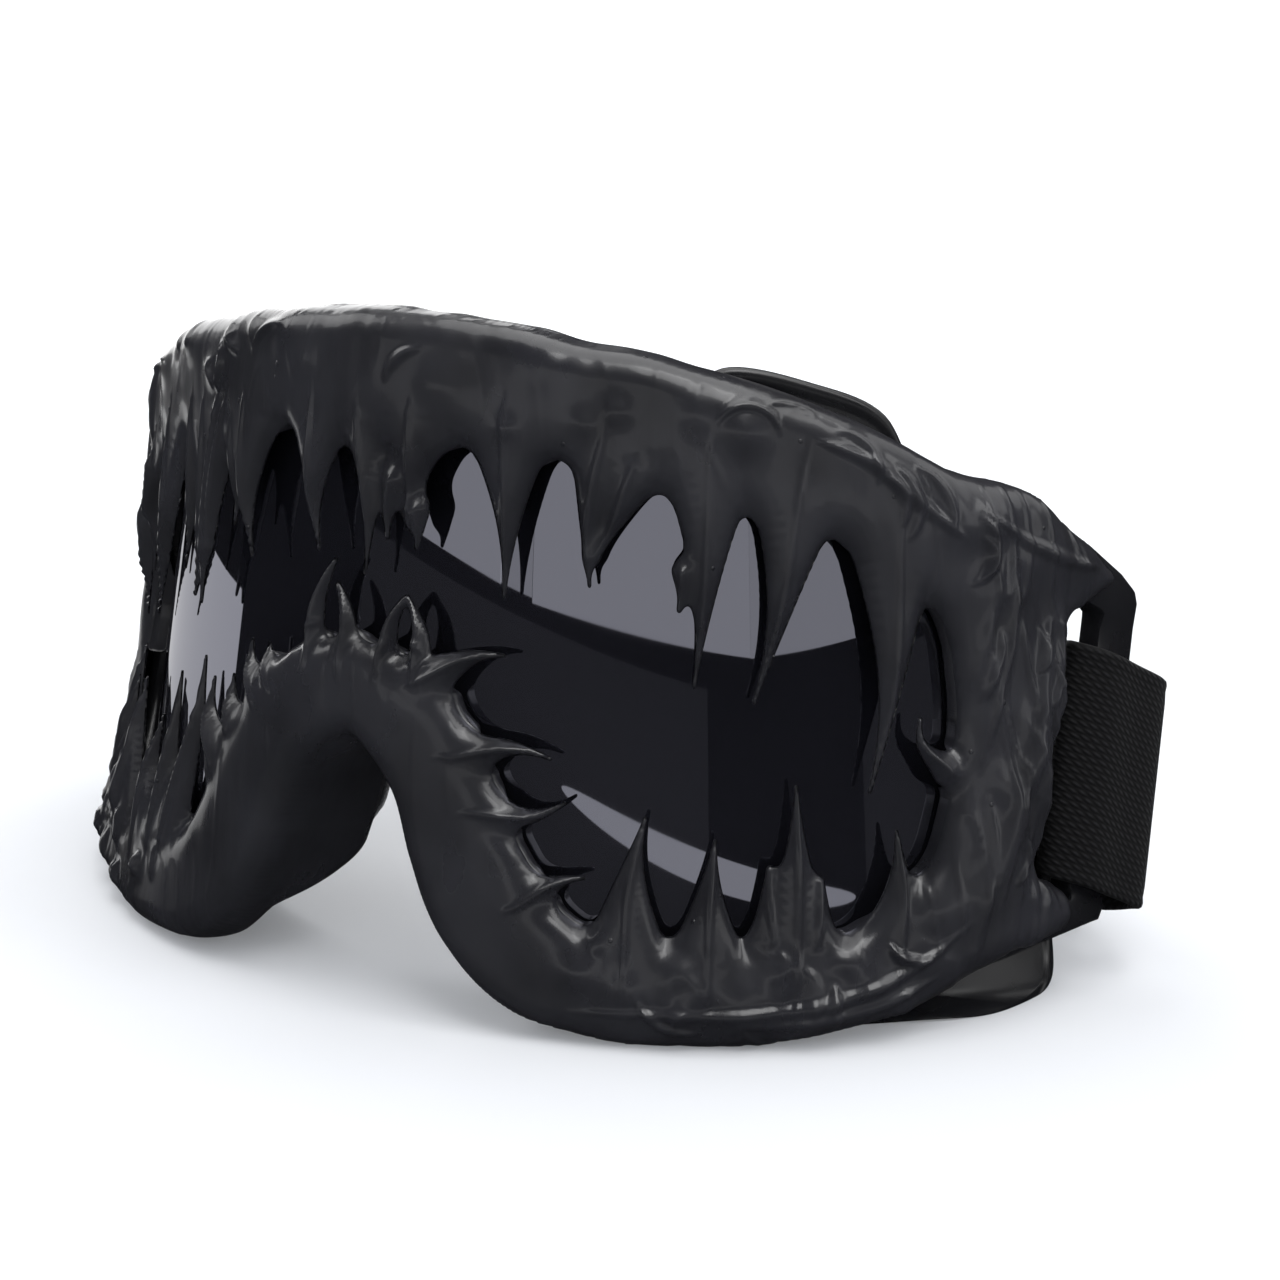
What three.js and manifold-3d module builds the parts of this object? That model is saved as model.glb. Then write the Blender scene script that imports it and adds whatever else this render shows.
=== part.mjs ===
// Motorcycle goggles with a poured rubber coat round the rim: outer frame with strap arms,
// face frame, double lens, three-layer face foam, vent foams and an elastic strap with two
// sliders. Millimetres, +Z up, the wearer looks along -Y, +X is the wearer's left.
//
// The goggles are drawn on a developed front surface: s runs sideways along the curved front
// from the middle, z is the height and d is the depth behind the front surface.

import * as THREE from 'three';
import Module from 'manifold-3d';

const wasm = await Module();
wasm.setup();

const degrees = THREE.MathUtils.degToRad;

// Front surface in plan: a wide arc, a tighter temple arc, then a straight arm
const FRONT_RADIUS = 97;
const FRONT_WRAP = degrees(54);
const TEMPLE_RADIUS = 45.7;
const ARM_WRAP = degrees(74);
const FLARE = 0.10 / 93;          // widening per mm below the reference height
const FLARE_HEIGHT = 25.5;
const MIDDLE_HEIGHT = 50;
const LEAN = degrees(7);          // the front leans back when the goggles stand
const PLACE_Y = -55.91;           // where the leaned mask stands
const PLACE_Z = 1.33;

// Depths of the layers behind the front surface
const RIM_THICKNESS = 3.0;
const WALL_DEPTH = 7.3;
const FLANGE_DEPTH = 7.9;
const FLANGE_THICKNESS = 1.8;
const GAP = 0.3;
const LENS_THICKNESS = 1.2;
const GASKET_THICKNESS = 1.4;
const INNER_LENS_THICKNESS = 1.0;
const LENS_OVERLAP = 4.5;         // lens width hidden behind the rim
const FOAM_LAYERS = [6.0, 4.0, 2.2];

// Wall thicknesses across the rim, measured inwards from the outer edge
const OUTER_WALL = 2.2;
const FACE_WALL_START = 2.6;
const FACE_WALL_END = 4.6;
const VENT_FOAM_END = 7.4;

// Coat: thickness in front of the rim and how far it creeps over the lens opening
const COAT_THICKNESS = 2.5;
const COAT_CREEP = 1.0;
const COAT_GAP = 0.45;

// Strap and slider
const STRAP_WIDTH = 35;
const STRAP_THICKNESS = 1.6;
const SLIDER_LENGTH = 20;
const SLIDER_BAR = 4;
const SLIDER_PLATE = 2.0;
const SLIDER_CLEARANCE = 0.5;

const RING_STATIONS = 100;
const FOAM_STATIONS = 64;
const COAT_STATIONS = 180;

// Half outlines from the top centre round the wearer's left side to the nose arch. Each row:
// outer edge (s, z), lens opening (s, z), edge of the face flange (s, z, d).
const HALF_ROWS = [
  [[0, 100.4], [0, 84.5], [0, 97.4, 8.3]],
  [[21, 99.4], [18, 84.2], [22, 96.4, 8.3]],
  [[38, 97.6], [33.5, 83.2], [40, 94.4, 8.3]],
  [[49.5, 96], [45, 81.8], [50, 93.6, 8.3]],
  [[59, 94.3], [54, 80.2], [57, 96.8, 8.3]],
  [[71.5, 91.1], [65.5, 78.1], [71, 95.6, 8.3]],
  [[83, 87.1], [76, 75], [84, 91.8, 8.3]],
  [[94, 82.4], [85, 70.3], [91, 82.4, 8.4]],
  [[103.5, 76], [91, 63.7], [107, 75, 8.6]],
  [[108.5, 65.6], [94, 55.2], [118, 64.5, 8.6]],
  [[109.5, 50], [94.3, 45.7], [117, 52, 8.6]],
  [[108, 36], [93, 36.8], [116.5, 38, 8.6]],
  [[104.3, 24.3], [90.3, 28.9], [120.4, 24.4, 8.6]],
  [[97, 14.2], [84.8, 21.4], [122.7, 13.6, 8]],
  [[87, 8.4], [77.6, 17.2], [119.6, 7.7, 5.6]],
  [[76.5, 4.9], [69, 14.8], [108, 5.2, 3.6]],
  [[65.5, 2.3], [60, 13.4], [92, 4.3, 5]],
  [[54, 1], [50, 13], [75, 2.4, 7.8]],
  [[41.7, 1.2], [42, 14.3], [56.4, 1.5, 8.4]],
  [[30, 3.2], [34.6, 18.2], [31, 3.4, 8.3]],
  [[19.5, 11.2], [28.2, 27], [20.2, 11.6, 8.3]],
  [[13, 23], [22.3, 38], [13.6, 23, 8.3]],
  [[9, 33], [17, 46], [9.5, 32.8, 8.3]],
  [[0, 39.7], [0, 52.5], [0, 39.2, 8.3]],
];

// Hanging and standing points of the coat: side (s), root half-width, length
const UPPER_FANGS = [
  [-84, 5, 12], [-76, 5, 14], [-66, 6, 16], [-58, 5, 12], [-49, 6, 20], [-40, 5, 16],
  [-31, 6, 17], [-23, 5, 19], [-9, 8, 20], [3, 6, 18], [10, 5, 12], [25, 7, 20],
  [39.5, 7, 17], [54.5, 7, 26], [65, 6.5, 25], [81, 7, 30],
];
const LOWER_FANGS = [
  [-80, 5, 12], [-70, 5, 15], [-60, 5, 12], [-50, 5, 17], [-41, 5, 13], [-33, 5, 18],
  [-23, 5, 10], [-5, 4, 10], [9, 4, 7], [23, 5, 9], [31, 5, 9], [38, 5, 9],
  [46.8, 6, 17], [57, 6, 14], [68, 6.5, 23], [81, 6, 13],
];

// ---------------------------------------------------------------- surface and outlines

function surfacePoint(s, z, d) {
  const side = s < 0 ? -1 : 1;
  const arc = Math.abs(s);
  const frontArc = FRONT_RADIUS * FRONT_WRAP;
  const armStart = frontArc + TEMPLE_RADIUS * (ARM_WRAP - FRONT_WRAP);
  const onTemple = arc > frontArc;
  const wrap = onTemple
    ? Math.min(FRONT_WRAP + (arc - frontArc) / TEMPLE_RADIUS, ARM_WRAP)
    : arc / FRONT_RADIUS;
  let x = FRONT_RADIUS * Math.sin(Math.min(wrap, FRONT_WRAP));
  let y = FRONT_RADIUS * (1 - Math.cos(Math.min(wrap, FRONT_WRAP)));
  if (onTemple) {
    const straight = Math.max(arc - armStart, 0);
    x += TEMPLE_RADIUS * (Math.sin(wrap) - Math.sin(FRONT_WRAP)) + straight * Math.cos(wrap);
    y += TEMPLE_RADIUS * (Math.cos(FRONT_WRAP) - Math.cos(wrap)) + straight * Math.sin(wrap);
  }
  x -= d * Math.sin(wrap);
  y += d * Math.cos(wrap);
  return new THREE.Vector3(side * x * (1 + FLARE * (FLARE_HEIGHT - z)), y, z);
}

function closedCurve(column) {
  const right = HALF_ROWS.map((row) => new THREE.Vector3(...row[column], row[column][2] ?? 0));
  const left = right.slice(1, -1).reverse().map((p) => new THREE.Vector3(-p.x, p.y, p.z));
  return new THREE.CatmullRomCurve3([...right, ...left], true, 'centripetal');
}

const outerEdge = closedCurve(0);
const openingEdge = closedCurve(1);
const flangeEdge = closedCurve(2);

// One station of the rim: at(e, d) is the point e mm inwards from the outer edge at depth d,
// and flange(f, d) the point at fraction f of the way from the face wall out to the flange edge.
function rimStation(t) {
  const outer = outerEdge.getPoint(t);
  const opening = openingEdge.getPoint(t);
  const edge = flangeEdge.getPoint(t);
  const inward = new THREE.Vector3().subVectors(opening, outer);
  const width = inward.length();
  inward.normalize();
  const at = (e, d) => [outer.x + inward.x * e, outer.y + inward.y * e, d];
  const [rootS, rootZ] = at(FACE_WALL_START, 0);
  const flange = (f, d) => [rootS + (edge.x - rootS) * f, rootZ + (edge.y - rootZ) * f, d];
  const reach = Math.hypot(edge.x - rootS, edge.y - rootZ);
  return { t, width, at, flange, edgeDepth: edge.z, reach, middle: opening };
}

function stations(count) {
  return Array.from({ length: count }, (_, k) => rimStation(k / count));
}

// ---------------------------------------------------------------- mesh helpers

function signedVolume(points, triangles) {
  let volume = 0;
  const cross = new THREE.Vector3();
  for (let k = 0; k < triangles.length; k += 3) {
    cross.crossVectors(points[triangles[k + 1]], points[triangles[k + 2]]);
    volume += points[triangles[k]].dot(cross) / 6;
  }
  return volume;
}

function closedGeometry(points, triangles) {
  const index = [...triangles];
  if (signedVolume(points, index) < 0) {
    for (let k = 0; k < index.length; k += 3) {
      [index[k], index[k + 1]] = [index[k + 1], index[k]];
    }
  }
  const geometry = new THREE.BufferGeometry();
  geometry.setAttribute('position', new THREE.Float32BufferAttribute(points.flatMap((p) => p.toArray()), 3));
  geometry.setIndex(index);
  return geometry;
}

// Skin over a row of equal sections; the row closes on itself, or ends in two flat caps.
function skin(sections, closed) {
  const across = sections[0].length;
  const points = sections.flat();
  const triangles = [];
  const spans = closed ? sections.length : sections.length - 1;
  for (let i = 0; i < spans; i += 1) {
    const here = i * across;
    const next = ((i + 1) % sections.length) * across;
    for (let j = 0; j < across; j += 1) {
      const k = (j + 1) % across;
      triangles.push(here + j, here + k, next + k, here + j, next + k, next + j);
    }
  }
  if (!closed) {
    const last = (sections.length - 1) * across;
    for (let j = 1; j < across - 1; j += 1) {
      triangles.push(0, j + 1, j, last, last + j, last + j + 1);
    }
  }
  return closedGeometry(points, triangles);
}

function ringGeometry(count, sectionOf) {
  const sections = stations(count).map((station) => sectionOf(station).map((p) => surfacePoint(...p)));
  return skin(sections, true);
}

// A bar along s: at each side position, sectionOf gives its (z, d) corners.
function barGeometry(sides, sectionOf, slant = () => 0) {
  const sections = sides.map((s) => sectionOf(s).map(([z, d]) => surfacePoint(s + slant(s, z), z, d)));
  return skin(sections, false);
}

function toSolid(geometry) {
  return new wasm.Manifold(new wasm.Mesh({
    numProp: 3,
    vertProperties: new Float32Array(geometry.attributes.position.array),
    triVerts: new Uint32Array(geometry.index.array),
  }));
}

function fromSolid(solid) {
  const mesh = solid.getMesh();
  const geometry = new THREE.BufferGeometry();
  geometry.setAttribute('position', new THREE.BufferAttribute(mesh.vertProperties, 3));
  geometry.setIndex(new THREE.BufferAttribute(mesh.triVerts, 1));
  return geometry;
}

function steps(from, to, count) {
  return Array.from({ length: count + 1 }, (_, k) => from + (to - from) * k / count);
}

// ---------------------------------------------------------------- scene and materials

const goggles = new THREE.Group();
const mask = new THREE.Group();
mask.rotation.x = -LEAN;
mask.position.set(0, PLACE_Y, PLACE_Z);
mask.updateMatrix();
goggles.add(mask);

const satinBlack = { color: 0x222225, roughness: 0.5, metalness: 0 };
const coatBlack = { color: 0x2a2a2d, roughness: 0.38, metalness: 0 };
const lensSmoke = { color: 0x141418, roughness: 0.05, metalness: 0.3, transparent: true, opacity: 0.9 };
const lensClear = { color: 0x3a3a40, roughness: 0.08, metalness: 0, transparent: true, opacity: 0.35 };
const foamGrey = { color: 0x2b2b2e, roughness: 0.95, metalness: 0 };
const fleeceBlack = { color: 0x161618, roughness: 1, metalness: 0 };
const strapBlack = { color: 0x131315, roughness: 0.9, metalness: 0 };
const siliconeGrey = { color: 0x3c3c40, roughness: 0.45, metalness: 0 };

function addPiece(parent, name, geometry, look) {
  const mesh = new THREE.Mesh(geometry, new THREE.MeshStandardMaterial(look));
  mesh.name = name;
  parent.add(mesh);
  return mesh;
}

// Everything below the height of the ground, in the mask's own frame
function groundBlock(height) {
  const size = 400;
  const block = new THREE.BoxGeometry(size, size, size);
  block.deleteAttribute('normal');
  block.deleteAttribute('uv');
  const corners = new THREE.Box3(
    new THREE.Vector3(-size / 2, -size / 2, height - size),
    new THREE.Vector3(size / 2, size / 2, height),
  );
  const toMask = mask.matrix.clone().invert();
  const points = [];
  for (const z of [corners.min.z, corners.max.z]) {
    points.push(
      new THREE.Vector3(corners.min.x, corners.min.y, z),
      new THREE.Vector3(corners.max.x, corners.min.y, z),
      new THREE.Vector3(corners.max.x, corners.max.y, z),
      new THREE.Vector3(corners.min.x, corners.max.y, z),
    );
  }
  points.forEach((p) => p.applyMatrix4(toMask));
  return toSolid(skin([points.slice(0, 4), points.slice(4)], false));
}

// ---------------------------------------------------------------- vents

const VENT_HALF_LENGTH = 6.5;
const VENT_DEPTHS = [4.0, 6.6];
const BROW_VENTS = [-38, -19, 0, 19, 38];
const CHEEK_VENTS = [-62, -46, 46, 62];

function outlineHeight(s, wantTop) {
  const heights = steps(0, 1, 600)
    .map((t) => outerEdge.getPoint(t))
    .filter((p) => Math.abs(p.x - s) < 1.2)
    .map((p) => p.y);
  return wantTop ? Math.max(...heights) : Math.min(...heights);
}

// A cutter through both walls at one vent
function ventCutter(s, wantTop) {
  const edge = outlineHeight(s, wantTop);
  const outside = wantTop ? edge + 3 : edge - 4;
  const inside = wantTop ? edge - VENT_FOAM_END : edge + VENT_FOAM_END;
  const [near, far] = VENT_DEPTHS;
  return toSolid(barGeometry(
    steps(s - VENT_HALF_LENGTH, s + VENT_HALF_LENGTH, 3),
    () => [[outside, near], [outside, far], [inside, far], [inside, near]],
  ));
}

const ventCutters = [
  ...BROW_VENTS.map((s) => ventCutter(s, true)),
  ...CHEEK_VENTS.map((s) => ventCutter(s, false)),
];

// ---------------------------------------------------------------- outer frame with strap arms

const ARM_START = 101;
const ARM_END = 127.5;
const ARM_SLANT = 8 / 48;         // the arm's rear end leans forward at the foot, per mm of height
const ARM_FOOT = 18;
const SLANT_START = 105;
const ARM_DEPTH = 5.4;
const POST_START = 117.8;
const POST_DEPTH = 1.2;
const WINDOW_TOP = 66.4;
const WINDOW_BOTTOM = 20.8;
const LEDGE_SPACE = 14;            // depth kept clear inside the outer wall

function armSlant(s, z) {
  const share = THREE.MathUtils.clamp((Math.abs(s) - SLANT_START) / (POST_START - SLANT_START), 0, 1);
  return Math.sign(s) * share * ARM_SLANT * (z - ARM_FOOT);
}

// Plate between two edge heights with its outer long edge bevelled
function armPlate(sides, outside, inside) {
  const bevel = 2.2;
  return toSolid(barGeometry(sides, (s) => {
    const edge = outside(s);
    const base = inside(s);
    const towards = Math.sign(base - edge);
    const bevelled = Math.min(bevel, Math.abs(base - edge) * 0.6);
    return [
      [edge, bevel], [edge + towards * bevelled, 0.2], [base, 0.2], [base, ARM_DEPTH], [edge, ARM_DEPTH],
    ];
  }, armSlant));
}

function strapArm(side) {
  const sides = [ARM_START, 103, 105.5, 108, 111, 114.5, 118, 123, ARM_END].map((s) => s * side);
  const along = (s) => (Math.abs(s) - ARM_START) / (ARM_END - ARM_START);
  const upper = armPlate(
    sides,
    (s) => THREE.MathUtils.lerp(81, 66.4, along(s)) + 1.4 * Math.sin(Math.PI * along(s)),
    (s) => WINDOW_TOP - 1.4 * along(s),
  );
  const lower = armPlate(
    sides,
    (s) => THREE.MathUtils.lerp(12.6, 17.6, along(s)),
    (s) => THREE.MathUtils.lerp(WINDOW_BOTTOM + 2.5, WINDOW_BOTTOM - 1.3, along(s)),
  );
  const chamfer = 0.9;
  const postSides = [POST_START, POST_START + chamfer, ARM_END - chamfer, ARM_END].map((s) => s * side);
  const post = toSolid(barGeometry(postSides, (s) => {
    const atEdge = Math.abs(s) === POST_START || Math.abs(s) === ARM_END;
    const inset = atEdge ? chamfer : 0;
    return [
      [65.6, POST_DEPTH + inset], [19.4, POST_DEPTH + inset], [19.4, ARM_DEPTH - 0.1], [65.6, ARM_DEPTH - 0.1],
    ];
  }, armSlant));
  return upper.add(lower).add(post);
}

let outerFrame = toSolid(ringGeometry(RING_STATIONS, ({ width, at }) => [
  at(width, 0.9), at(width - 0.8, 0), at(width / 2, 0), at(1.5, 0), at(0, 1.5), at(0, WALL_DEPTH),
  at(OUTER_WALL, WALL_DEPTH), at(OUTER_WALL, RIM_THICKNESS),
  at(width * 0.6, RIM_THICKNESS), at(width, RIM_THICKNESS),
]));
const insideWalls = toSolid(ringGeometry(RING_STATIONS, ({ width, at }) => [
  at(OUTER_WALL, RIM_THICKNESS), at(width * 0.6, RIM_THICKNESS), at(width + 2, RIM_THICKNESS),
  at(width + 2, LEDGE_SPACE), at(width * 0.6, LEDGE_SPACE), at(OUTER_WALL, LEDGE_SPACE),
]));
outerFrame = outerFrame
  .add(strapArm(1).subtract(insideWalls))
  .add(strapArm(-1).subtract(insideWalls));
for (const cutter of ventCutters) {
  outerFrame = outerFrame.subtract(cutter);
}
outerFrame = outerFrame.subtract(groundBlock(0));
addPiece(mask, 'outer_frame', fromSolid(outerFrame), satinBlack);

// ---------------------------------------------------------------- lenses

const LENS_DEPTH = RIM_THICKNESS + GAP;
const GASKET_DEPTH = LENS_DEPTH + LENS_THICKNESS + GAP;
const INNER_LENS_DEPTH = GASKET_DEPTH + GASKET_THICKNESS + GAP;
const LEDGE_DEPTH = INNER_LENS_DEPTH + INNER_LENS_THICKNESS + GAP;

// Lens pane: upright strips between the lower and the upper edge of the lens outline
function lensGeometry(overlap, depth, thickness) {
  const outline = stations(240).map(({ width, at }) => at(width - overlap, 0));
  const reach = Math.max(...outline.map((p) => p[0]));
  const columns = steps(-1, 1, 64).map((u) => Math.sin(u * Math.PI / 2) * (reach - 0.4));
  const sections = columns.map((s) => {
    const heights = [];
    outline.forEach((p, k) => {
      const q = outline[(k + 1) % outline.length];
      if ((p[0] - s) * (q[0] - s) <= 0 && p[0] !== q[0]) {
        heights.push(p[1] + (q[1] - p[1]) * (s - p[0]) / (q[0] - p[0]));
      }
    });
    const low = Math.min(...heights);
    const high = Math.max(...heights);
    return [[low, depth], [high, depth], [high, depth + thickness], [low, depth + thickness]]
      .map(([z, d]) => surfacePoint(s, z, d));
  });
  return skin(sections, false);
}

addPiece(mask, 'lens_outer', lensGeometry(LENS_OVERLAP, LENS_DEPTH, LENS_THICKNESS), lensSmoke);
addPiece(mask, 'lens_inner', lensGeometry(LENS_OVERLAP - 0.5, INNER_LENS_DEPTH, INNER_LENS_THICKNESS), lensClear);
addPiece(mask, 'lens_gasket', ringGeometry(FOAM_STATIONS, ({ width, at }) => [
  at(width - LENS_OVERLAP + 0.5, GASKET_DEPTH), at(width - 0.5, GASKET_DEPTH),
  at(width - 0.5, GASKET_DEPTH + GASKET_THICKNESS), at(width - LENS_OVERLAP + 0.5, GASKET_DEPTH + GASKET_THICKNESS),
]), foamGrey);

// ---------------------------------------------------------------- face frame with its flange

const BEAD = 2.4;
const LEDGE_BACK = FLANGE_DEPTH + FLANGE_THICKNESS;
let faceFrame = toSolid(ringGeometry(RING_STATIONS, ({ width, at, flange, edgeDepth, reach }) => {
  const beadFoot = 1 - Math.min(BEAD / Math.max(reach, 0.1), 0.5);
  const turn = 0.42;
  return [
    at(FACE_WALL_START, RIM_THICKNESS + GAP),
    at(FACE_WALL_START, FLANGE_DEPTH - 0.1),
    flange(turn, FLANGE_DEPTH),
    flange(beadFoot, edgeDepth - 0.3),
    flange(1 - (1 - beadFoot) * 0.45, edgeDepth - 0.7),
    flange(1, edgeDepth - 0.2),
    flange(1, edgeDepth + FLANGE_THICKNESS - 0.6),
    flange(turn, LEDGE_BACK),
    at(FACE_WALL_START, LEDGE_BACK),
    at(width - 2.5, LEDGE_BACK),
    at(width - 2.5, LEDGE_DEPTH),
    at(FACE_WALL_END, LEDGE_DEPTH),
    at(FACE_WALL_END, RIM_THICKNESS + GAP),
  ];
}));
for (const cutter of ventCutters) {
  faceFrame = faceFrame.subtract(cutter);
}
faceFrame = faceFrame.subtract(groundBlock(0));
addPiece(mask, 'face_frame', fromSolid(faceFrame), satinBlack);

// ---------------------------------------------------------------- foams

const FOAM_NAMES = ['foam_base', 'foam_middle', 'foam_fleece'];
const foamStart = LEDGE_BACK + GAP;
const foamTotal = FOAM_LAYERS.reduce((sum, layer) => sum + layer + GAP, 0);
const foamInset = (d) => 3.4 + 4.6 * (d - foamStart) / foamTotal;
const foamOuter = (d, atNose) => THREE.MathUtils.lerp(foamInset(d), 0.8, atNose);
// 1 along the nose arch, where the foams come out flush with the rim, and 0 elsewhere
function noseShare(middle) {
  return middle.y > 60 ? 0 : THREE.MathUtils.clamp((30 - Math.abs(middle.x)) / 8, 0, 1);
}
const foamInner = (d) => 1.0 + 1.5 * (d - foamStart) / foamTotal;
let foamDepth = foamStart;
FOAM_LAYERS.forEach((thickness, layer) => {
  const near = foamDepth;
  const far = foamDepth + thickness;
  const ring = toSolid(ringGeometry(FOAM_STATIONS, ({ width, at, middle }) => [
    at(foamOuter(near, noseShare(middle)), near), at(width + foamInner(near), near),
    at(width + foamInner(far), far), at(foamOuter(far, noseShare(middle)), far),
  ]));
  addPiece(mask, FOAM_NAMES[layer], fromSolid(ring.subtract(groundBlock(GAP))), layer === 2 ? fleeceBlack : foamGrey);
  foamDepth = far + GAP;
});

function ventFoam(name, from, to, wantTop) {
  const count = Math.max(3, Math.round(Math.abs(to - from) / 5));
  const start = FACE_WALL_END + GAP;
  const sign = wantTop ? -1 : 1;
  addPiece(mask, name, barGeometry(steps(from, to, count), (s) => {
    const edge = outlineHeight(s, wantTop);
    return [
      [edge + sign * (start + 0.5), 3.7], [edge + sign * (start + 0.5), 7.4],
      [edge + sign * VENT_FOAM_END, 7.4], [edge + sign * VENT_FOAM_END, 3.7],
    ];
  }), foamGrey);
}

ventFoam('vent_foam_brow_right', -46, -11, true);
ventFoam('vent_foam_brow_middle', -9, 9, true);
ventFoam('vent_foam_brow_left', 11, 46, true);
ventFoam('vent_foam_cheek_right', -70, -39, false);
ventFoam('vent_foam_cheek_left', 39, 70, false);

// ---------------------------------------------------------------- poured coat

function fangLength(s, fangs) {
  const lengths = fangs.map(([side, half, length]) => {
    const off = Math.abs(s - side) / half;
    return off < 1 ? length * (1 - off) ** 1.3 : 0;
  });
  return Math.max(...lengths);
}

addPiece(mask, 'drip_coat', ringGeometry(COAT_STATIONS, ({ width, at, middle }) => {
  const fangs = middle.y > MIDDLE_HEIGHT + 5 ? UPPER_FANGS : LOWER_FANGS;
  const onSide = Math.abs(middle.x) > 89;
  const tip = width + COAT_CREEP + (onSide ? 0 : fangLength(middle.x, fangs));
  return [
    at(tip, -COAT_GAP), at(tip, -1.2), at(width - 2, -COAT_GAP - COAT_THICKNESS),
    at(2.5, -COAT_GAP - COAT_THICKNESS), at(0.6, -COAT_GAP), at(width / 2, -COAT_GAP),
  ];
}), coatBlack);

// ---------------------------------------------------------------- strap

// Route of the strap's middle line from one end to the other. On the arms a row is given on the
// mask (s, z, d); behind the goggles it is given as x, y and the height of the lower edge.
const REAR_RUN = 51.73;
const TAIL_RUN = REAR_RUN - STRAP_THICKNESS - 0.6;
const MIDDLE_RUN = REAR_RUN - 8.2;
const FRONT_RUN = REAR_RUN - 16.2;
const LOW = 3.6;
const HIGH = 16.5;

function onArm(s, z, d) {
  return { s, z, d };
}

function behind(x, y, lower) {
  return { x, y, lower };
}

function sideRoute(lower) {
  const lift = lower - LOW;
  return [
    behind(21, TAIL_RUN, lower),
    behind(38, TAIL_RUN, lower),
    behind(57, TAIL_RUN - 0.2, lower),
    behind(68.5, REAR_RUN - 8.5, lower + 1.5),
    behind(77, REAR_RUN - 16.5, lower + 5),
    onArm(135, 37.5 + 0.3 * lift, 7.1),
    onArm(128, 40, 7.2),
    onArm(121.6, 41.6, 6.7),
    onArm(117.6, 42.3, 2.7),
    onArm(121.4, 41.3, -1.3),
    onArm(127.5, 39.2, -1.7),
    onArm(134.3, 36.9 + 0.2 * lift, -1.2),
    onArm(139.2, 35.2 + 0.5 * lift, 3.6),
    onArm(140, 33.6 + 0.7 * lift, 10.6),
    behind(76.8, REAR_RUN - 8.8, lower + 1.5),
    behind(67.5, REAR_RUN - 2.6, lower + 0.4),
    behind(57, REAR_RUN, lower),
    behind(46, REAR_RUN, lower),
    behind(34, REAR_RUN, lower),
    behind(22, REAR_RUN, lower),
    behind(12.5, REAR_RUN, lower),
    behind(7, REAR_RUN - 1.2, lower),
    behind(5.2, REAR_RUN - 4.1, lower),
    behind(7, MIDDLE_RUN + 1.2, lower),
    behind(12.5, MIDDLE_RUN, lower),
    behind(32, MIDDLE_RUN, lower),
    behind(50, MIDDLE_RUN, lower),
    behind(56, MIDDLE_RUN - 1.2, lower),
    behind(58, MIDDLE_RUN - 4, lower),
    behind(56, FRONT_RUN + 1.2, lower),
    behind(50, FRONT_RUN, lower),
    behind(32, FRONT_RUN, lower),
  ];
}

const mirrored = (row) => (row.s === undefined ? { ...row, x: -row.x } : { ...row, s: -row.s });
const strapRoute = [...sideRoute(LOW), ...sideRoute(HIGH).reverse().map(mirrored)];

function strapEdge(row, fraction) {
  if (row.s === undefined) {
    return new THREE.Vector3(row.x, row.y, row.lower + fraction * STRAP_WIDTH);
  }
  const rise = (fraction - 0.5) * STRAP_WIDTH;
  const s = row.s + Math.sign(row.s) * ARM_SLANT * rise;
  return surfacePoint(s, row.z + rise, row.d).applyMatrix4(mask.matrix);
}

function ribbonSections(from, to, count, bottom, top, nearFace, farFace) {
  const lower = new THREE.CatmullRomCurve3(strapRoute.map((row) => strapEdge(row, bottom)), false, 'centripetal');
  const upper = new THREE.CatmullRomCurve3(strapRoute.map((row) => strapEdge(row, top)), false, 'centripetal');
  return steps(from, to, count).map((t) => {
    const ahead = Math.min(t + 1e-4, 1);
    const back = Math.max(t - 1e-4, 0);
    const along = new THREE.Vector3().subVectors(lower.getPoint(ahead), lower.getPoint(back));
    const normal = new THREE.Vector3(along.y, -along.x, 0).normalize();
    const low = lower.getPoint(t);
    const high = upper.getPoint(t);
    return [
      low.clone().addScaledVector(normal, nearFace), high.clone().addScaledVector(normal, nearFace),
      high.clone().addScaledVector(normal, farFace), low.clone().addScaledVector(normal, farFace),
    ];
  });
}

const half = STRAP_THICKNESS / 2;
const strapSteps = (strapRoute.length - 1) * 2;
addPiece(goggles, 'strap_band', skin(ribbonSections(0, 1, strapSteps, 0, 1, -half, half), false), strapBlack);

// Silicone lines printed on the face of the strap that lies against the head
const GRIP_SPAN = [0.45, 0.55];
const GRIP_HEIGHT = 0.6;
[['strap_grip_upper', 0.64], ['strap_grip_lower', 0.28]].forEach(([name, bottom]) => {
  const [from, to] = GRIP_SPAN;
  const near = half + GAP;
  addPiece(goggles, name, skin(
    ribbonSections(from, to, 12, bottom, bottom + 0.08, near, near + GRIP_HEIGHT), false,
  ), siliconeGrey);
});

// Slider: a back plate with a window, two bars in front, and rails that join them above and
// below the strap. It grips the doubled strap.
const SLIDER_X = 44;

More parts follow.
